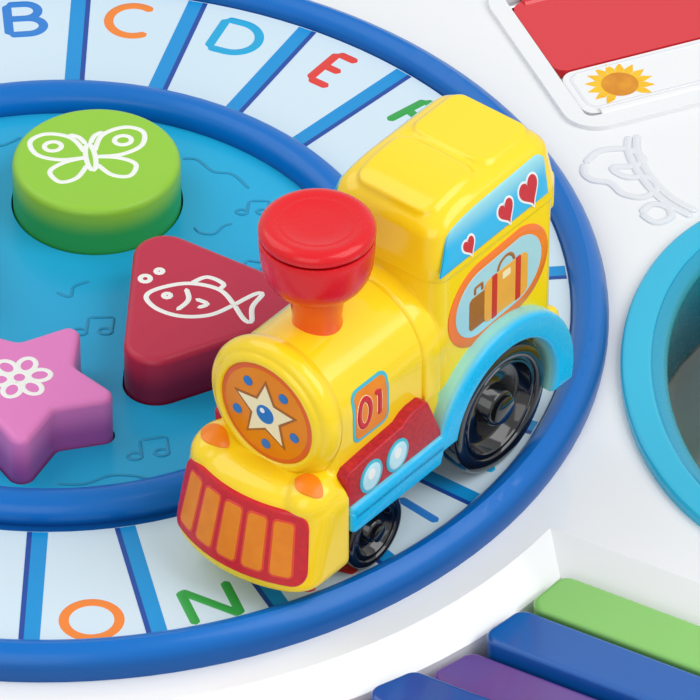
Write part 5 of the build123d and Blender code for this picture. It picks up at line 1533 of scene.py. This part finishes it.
    def _wheel(self, end: str, number: str, side: int, x0: float, r: float) -> None:
        """A dished wheel with a rim ring and a hub that stands out.

        Args:
            end: "front" or "rear".
            number: the side's name.
            side: 1 for the left side, -1 for the right one.
            x0: the axle's place along the train.
            r: the wheel's radius as it rolls.
        """
        inner, outer = self.wheel_out - self.wheel_width, self.wheel_out
        deep, hub, cap = (4.2, 5.2, 3.9) if end == "rear" else (2.6, 3.4, 2.4)
        tyre = r - 0.2 * r
        tread = r - self.wheel_gap
        profile = [(inner, 0), (inner, tread - 1.0), (inner + 0.3, tread - 0.3), (inner + 1.0, tread),
                   (outer - 1.3, tread), (outer - 0.5, tread - 0.25), (outer, tread - 0.9), (outer, tyre),
                   (outer - 0.3, tyre - 0.4), (outer - 0.8, tyre - 0.6), (outer - 0.8, tyre - 1.1),
                   (outer - 0.4, tyre - 1.4), (outer - 0.4, tyre - 1.9), (outer - 0.9, tyre - 2.3),
                   (outer - deep + 0.5, tyre - 2.8), (outer - deep, tyre - 3.3 - 0.02 * r),
                   (outer - deep - 0.1, hub + 0.5), (outer - deep + 0.3, hub), (outer - 0.7, hub * 0.94),
                   (outer - 0.2, hub * 0.94 - 0.5), (outer - 0.2, cap), (outer + 0.9, cap - 0.1),
                   (outer + 1.15, cap - 0.5), (outer + 1.2, 0)]
        wheel = lathe(profile).placed(lambda x, y, z: (x0 + x, side * z, r + y))
        self._add(f"{end}_wheel_{number}", wheel, Tones.black, [f"train_{end}_wheel_{number}"],
                  body=f"{end}_wheelset", crease=50)


# ---------------------------------------------------------------- book, roller, piano, electronics
@dataclass(frozen=True)
class Book:
    """The book of two leaves, with a plain sun on the white one."""

    corner: Point = (135.7, 67.1)
    turn: float = 20.0
    leaf_top: float = 385.0
    sun_at: Point = (19.2, 16.4)
    sun_r: float = 4.9
    ray_places: int = 16
    rays: int = 13

    def build(self, frame: dict) -> None:
        """Dress the leaves and print the sun and the borders.

        Args:
            frame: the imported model.
        """
        dress(frame, Tones.white, "book_leaf_white")
        dress(frame, Tones.red, "book_leaf_red")
        dress(frame, Tones.card, "book_card")
        dress(frame, Tones.steel, "book_pins")
        spot = Spot(*self.corner, self.leaf_top, self.turn)
        sun = inlay(oval(*self.sun_at, self.sun_r, self.sun_r), 0.16, soft=0.05)
        ray = inlay([(4.5, -0.85), (6.5, -1.2), (9.2, 0.0), (6.5, 1.2), (4.5, 0.85)], 0.1, soft=0.03)
        lean = math.sqrt(0.5)
        ray = ray.placed(lambda x, y, z: (lean * (x + y), lean * (y - x), z))
        rays = repeated("sun_ray", ray, self.rays, Tones.sun_ray, turn=2 * math.pi / self.ray_places)
        piece("book_sun", sun.placed(spot.put), Tones.sun, "leaf_white")
        piece("book_sun_rays", rays.placed(Spot(*self.sun_at).put).placed(spot.put), Tones.sun_ray,
              "leaf_white")
        border = strokes("leaf_border", [rounded(39, 17.1, 62, 15.0, 3.0)], 0.9, 0.25,
                         Tones.white_raised, True)
        piece("leaf_border", border.placed(spot.put), Tones.white_raised, "leaf_white")


@dataclass(frozen=True)
class Roller:
    """The ribbed drum in its oval bezel, with a liner of darker teal down the well's wall, painted shade of
    the well.
    """

    x: float = 186.0
    y: float = -34.0
    half_width: float = 45.5
    half_depth: float = 71.0
    well_foot: float = 357.0
    segments: int = 96

    def build(self, frame: dict) -> None:
        """Dress the drum and its bezel and line the well.

        Args:
            frame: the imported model.
        """
        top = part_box("roller_bezel")[1].z / MM
        section = [(7.2, top - 0.9), (8.2, top - 0.35), (10.6, top - 0.9), (11.6, top - 1.9),
                   (11.9, top - 3.4), (9.4, top - 4.4), (9.0, self.well_foot), (8.3, self.well_foot),
                   (8.1, top - 4.6)]
        count = self.segments
        turns = [math.radians(i * 360 / count) for i in range(count)]
        shape = Shape([(self.x + (self.half_width - by) * math.cos(t),
                        self.y + (self.half_depth - by) * math.sin(t), z)
                       for by, z in section for t in turns])
        for level in range(len(section)):
            base, above = level * count, (level + 1) % len(section) * count
            shape.faces += [(base + i, base + (i + 1) % count, above + (i + 1) % count, above + i)
                            for i in range(count)]
        # the liner's darker teal is painted shade of the well
        piece("roller_well_liner", shape, Tones.teal_deep, "table")
        dress(frame, Tones.teal, "roller_bezel")
        dress(frame, Tones.yellow, "roller_drum")
        dress(frame, Tones.steel, "roller_axle")


@dataclass(frozen=True)
class Piano:
    """The five keys in their sunken bed."""

    def build(self, frame: dict) -> None:
        """Dress the keys and what they turn and press on.

        Args:
            frame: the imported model.
        """
        for number, colour in enumerate(("green", "blue", "purple", "navy", "red"), 1):
            dress(frame, getattr(Tones, "key_" + colour), f"piano_key_{number}")
        dress(frame, Tones.steel, "piano_rod")
        dress(frame, Tones.pad, "dome_strip")


@dataclass(frozen=True)
class Electronics:
    """Boards, speaker, cells, contacts, switch and screws."""

    def build(self, frame: dict) -> None:
        """Dress the inner parts.

        Args:
            frame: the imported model.
        """
        dress(frame, Tones.board, "sensor_board", "main_board")
        dress(frame, Tones.cone, "speaker")
        dress(frame, Tones.cell, "battery_cells")
        dress(frame, Tones.brass, "battery_contacts")
        dress(frame, Tones.key_navy, "switch_slider")
        dress(frame, Tones.steel, "casing_screws", "door_screw")


# ---------------------------------------------------------------- floor, lights and camera
@dataclass(frozen=True)
class Studio:
    """A pale floor, soft lamps and the camera."""

    eye: Point3 = (3.64, -1677.3, 1762.2)
    yaw: float = 0.042
    pitch: float = 0.692
    roll: float = 0.003
    lens: float = 441.9

    def build(self) -> None:
        """Set the scene round the object."""
        scene = bpy.context.scene
        scene.view_settings.view_transform = "Standard"
        self._floor()
        self._world(scene)
        for name, place, size, power, aim in (
                ("lamp_key", (1.05, -0.45, 1.55), 1.2, 15.5, (0.05, -0.05, 0.38)),
                ("lamp_over", (-1.05, 0.45, 1.75), 1.4, 10.5, (0.0, 0.0, 0.38)),
                ("lamp_front", (-0.5, -1.5, 1.35), 1.2, 8.0, (0.0, 0.0, 0.38))):
            data = bpy.data.lights.new(name, "AREA")
            data.shape, data.size, data.energy = "SQUARE", size, power
            lamp = linked(name, data)
            lamp.location = place
            lamp.rotation_euler = (Vector(aim) - Vector(place)).to_track_quat("-Z", "Y").to_euler()
        self._camera(scene)

    @staticmethod
    def _floor() -> None:
        """A wide pale floor that fades into the background."""
        mesh = bpy.data.meshes.new("floor")
        corners = [(x, y, -0.0005) for x, y in ((-4, -4), (4, -4), (4, 4), (-4, 4))]
        mesh.from_pydata(corners, [], [(0, 1, 2, 3)])
        mesh.materials.append(Finish("F2F3F4", "EEF0F1", 0.7, 0.0, drift_scale=2, name="floor").material())
        linked("floor", mesh)

    @staticmethod
    def _world(scene: bpy.types.Scene) -> None:
        """Even light all round, with a white background for the camera and for reflections.

        Args:
            scene: the scene that it lights.
        """
        world = bpy.data.worlds.new("studio")
        scene.world = world
        world.use_nodes = True
        tree = world.node_tree
        tree.nodes.clear()
        light = add(tree, "ShaderNodeBackground", {"Color": (0.93, 0.96, 1.0, 1.0), "Strength": 0.42})
        seen = add(tree, "ShaderNodeBackground", {"Color": (1.0, 1.0, 1.0, 1.0), "Strength": 1.0})
        rays = add(tree, "ShaderNodeLightPath").outputs
        share = calc(tree, "MAXIMUM", calc(tree, "MAXIMUM", rays["Is Camera Ray"], rays["Is Glossy Ray"]),
                     rays["Is Transmission Ray"])
        mix = add(tree, "ShaderNodeMixShader", {0: share, 1: light.outputs[0], 2: seen.outputs[0]})
        add(tree, "ShaderNodeOutputWorld", {"Surface": mix.outputs[0]})

    def _camera(self, scene: bpy.types.Scene) -> None:
        """The camera, turned by its own yaw, pitch and roll.

        Args:
            scene: the scene that looks through it.
        """
        cp, sp = math.cos(self.pitch), math.sin(self.pitch)
        cy, sy = math.cos(self.yaw), math.sin(self.yaw)
        ahead, right = Vector((sy * cp, cy * cp, -sp)), Vector((cy, -sy, 0))
        up = right.cross(ahead)
        cr, sr = math.cos(self.roll), math.sin(self.roll)
        x, y = cr * right + sr * up, -sr * right + cr * up
        data = bpy.data.cameras.new("camera")
        data.lens, data.sensor_width, data.clip_end = self.lens, 36.0, 20.0
        scene.camera = linked("camera", data)
        turn = Matrix((x, y, -ahead)).transposed().to_4x4()
        scene.camera.matrix_world = Matrix.Translation(Vector(self.eye) * MM) @ turn


def main() -> None:
    """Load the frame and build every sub-assembly."""
    logging.basicConfig(level=logging.INFO, format="%(name)s: %(message)s")
    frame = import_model()
    for part in (TableShell, LetterTrack, ShapeButtons, Train, Book, Roller, Piano, Electronics):
        part().build(frame)
    Studio().build()
    for name, node in frame["nodes"].items():
        if not node.hide_render and not any(m and m.name.startswith("finish_") for m in node.data.materials):
            LOG.warning("%s has no finish of its own", name)


if __name__ == "__main__":
    main()
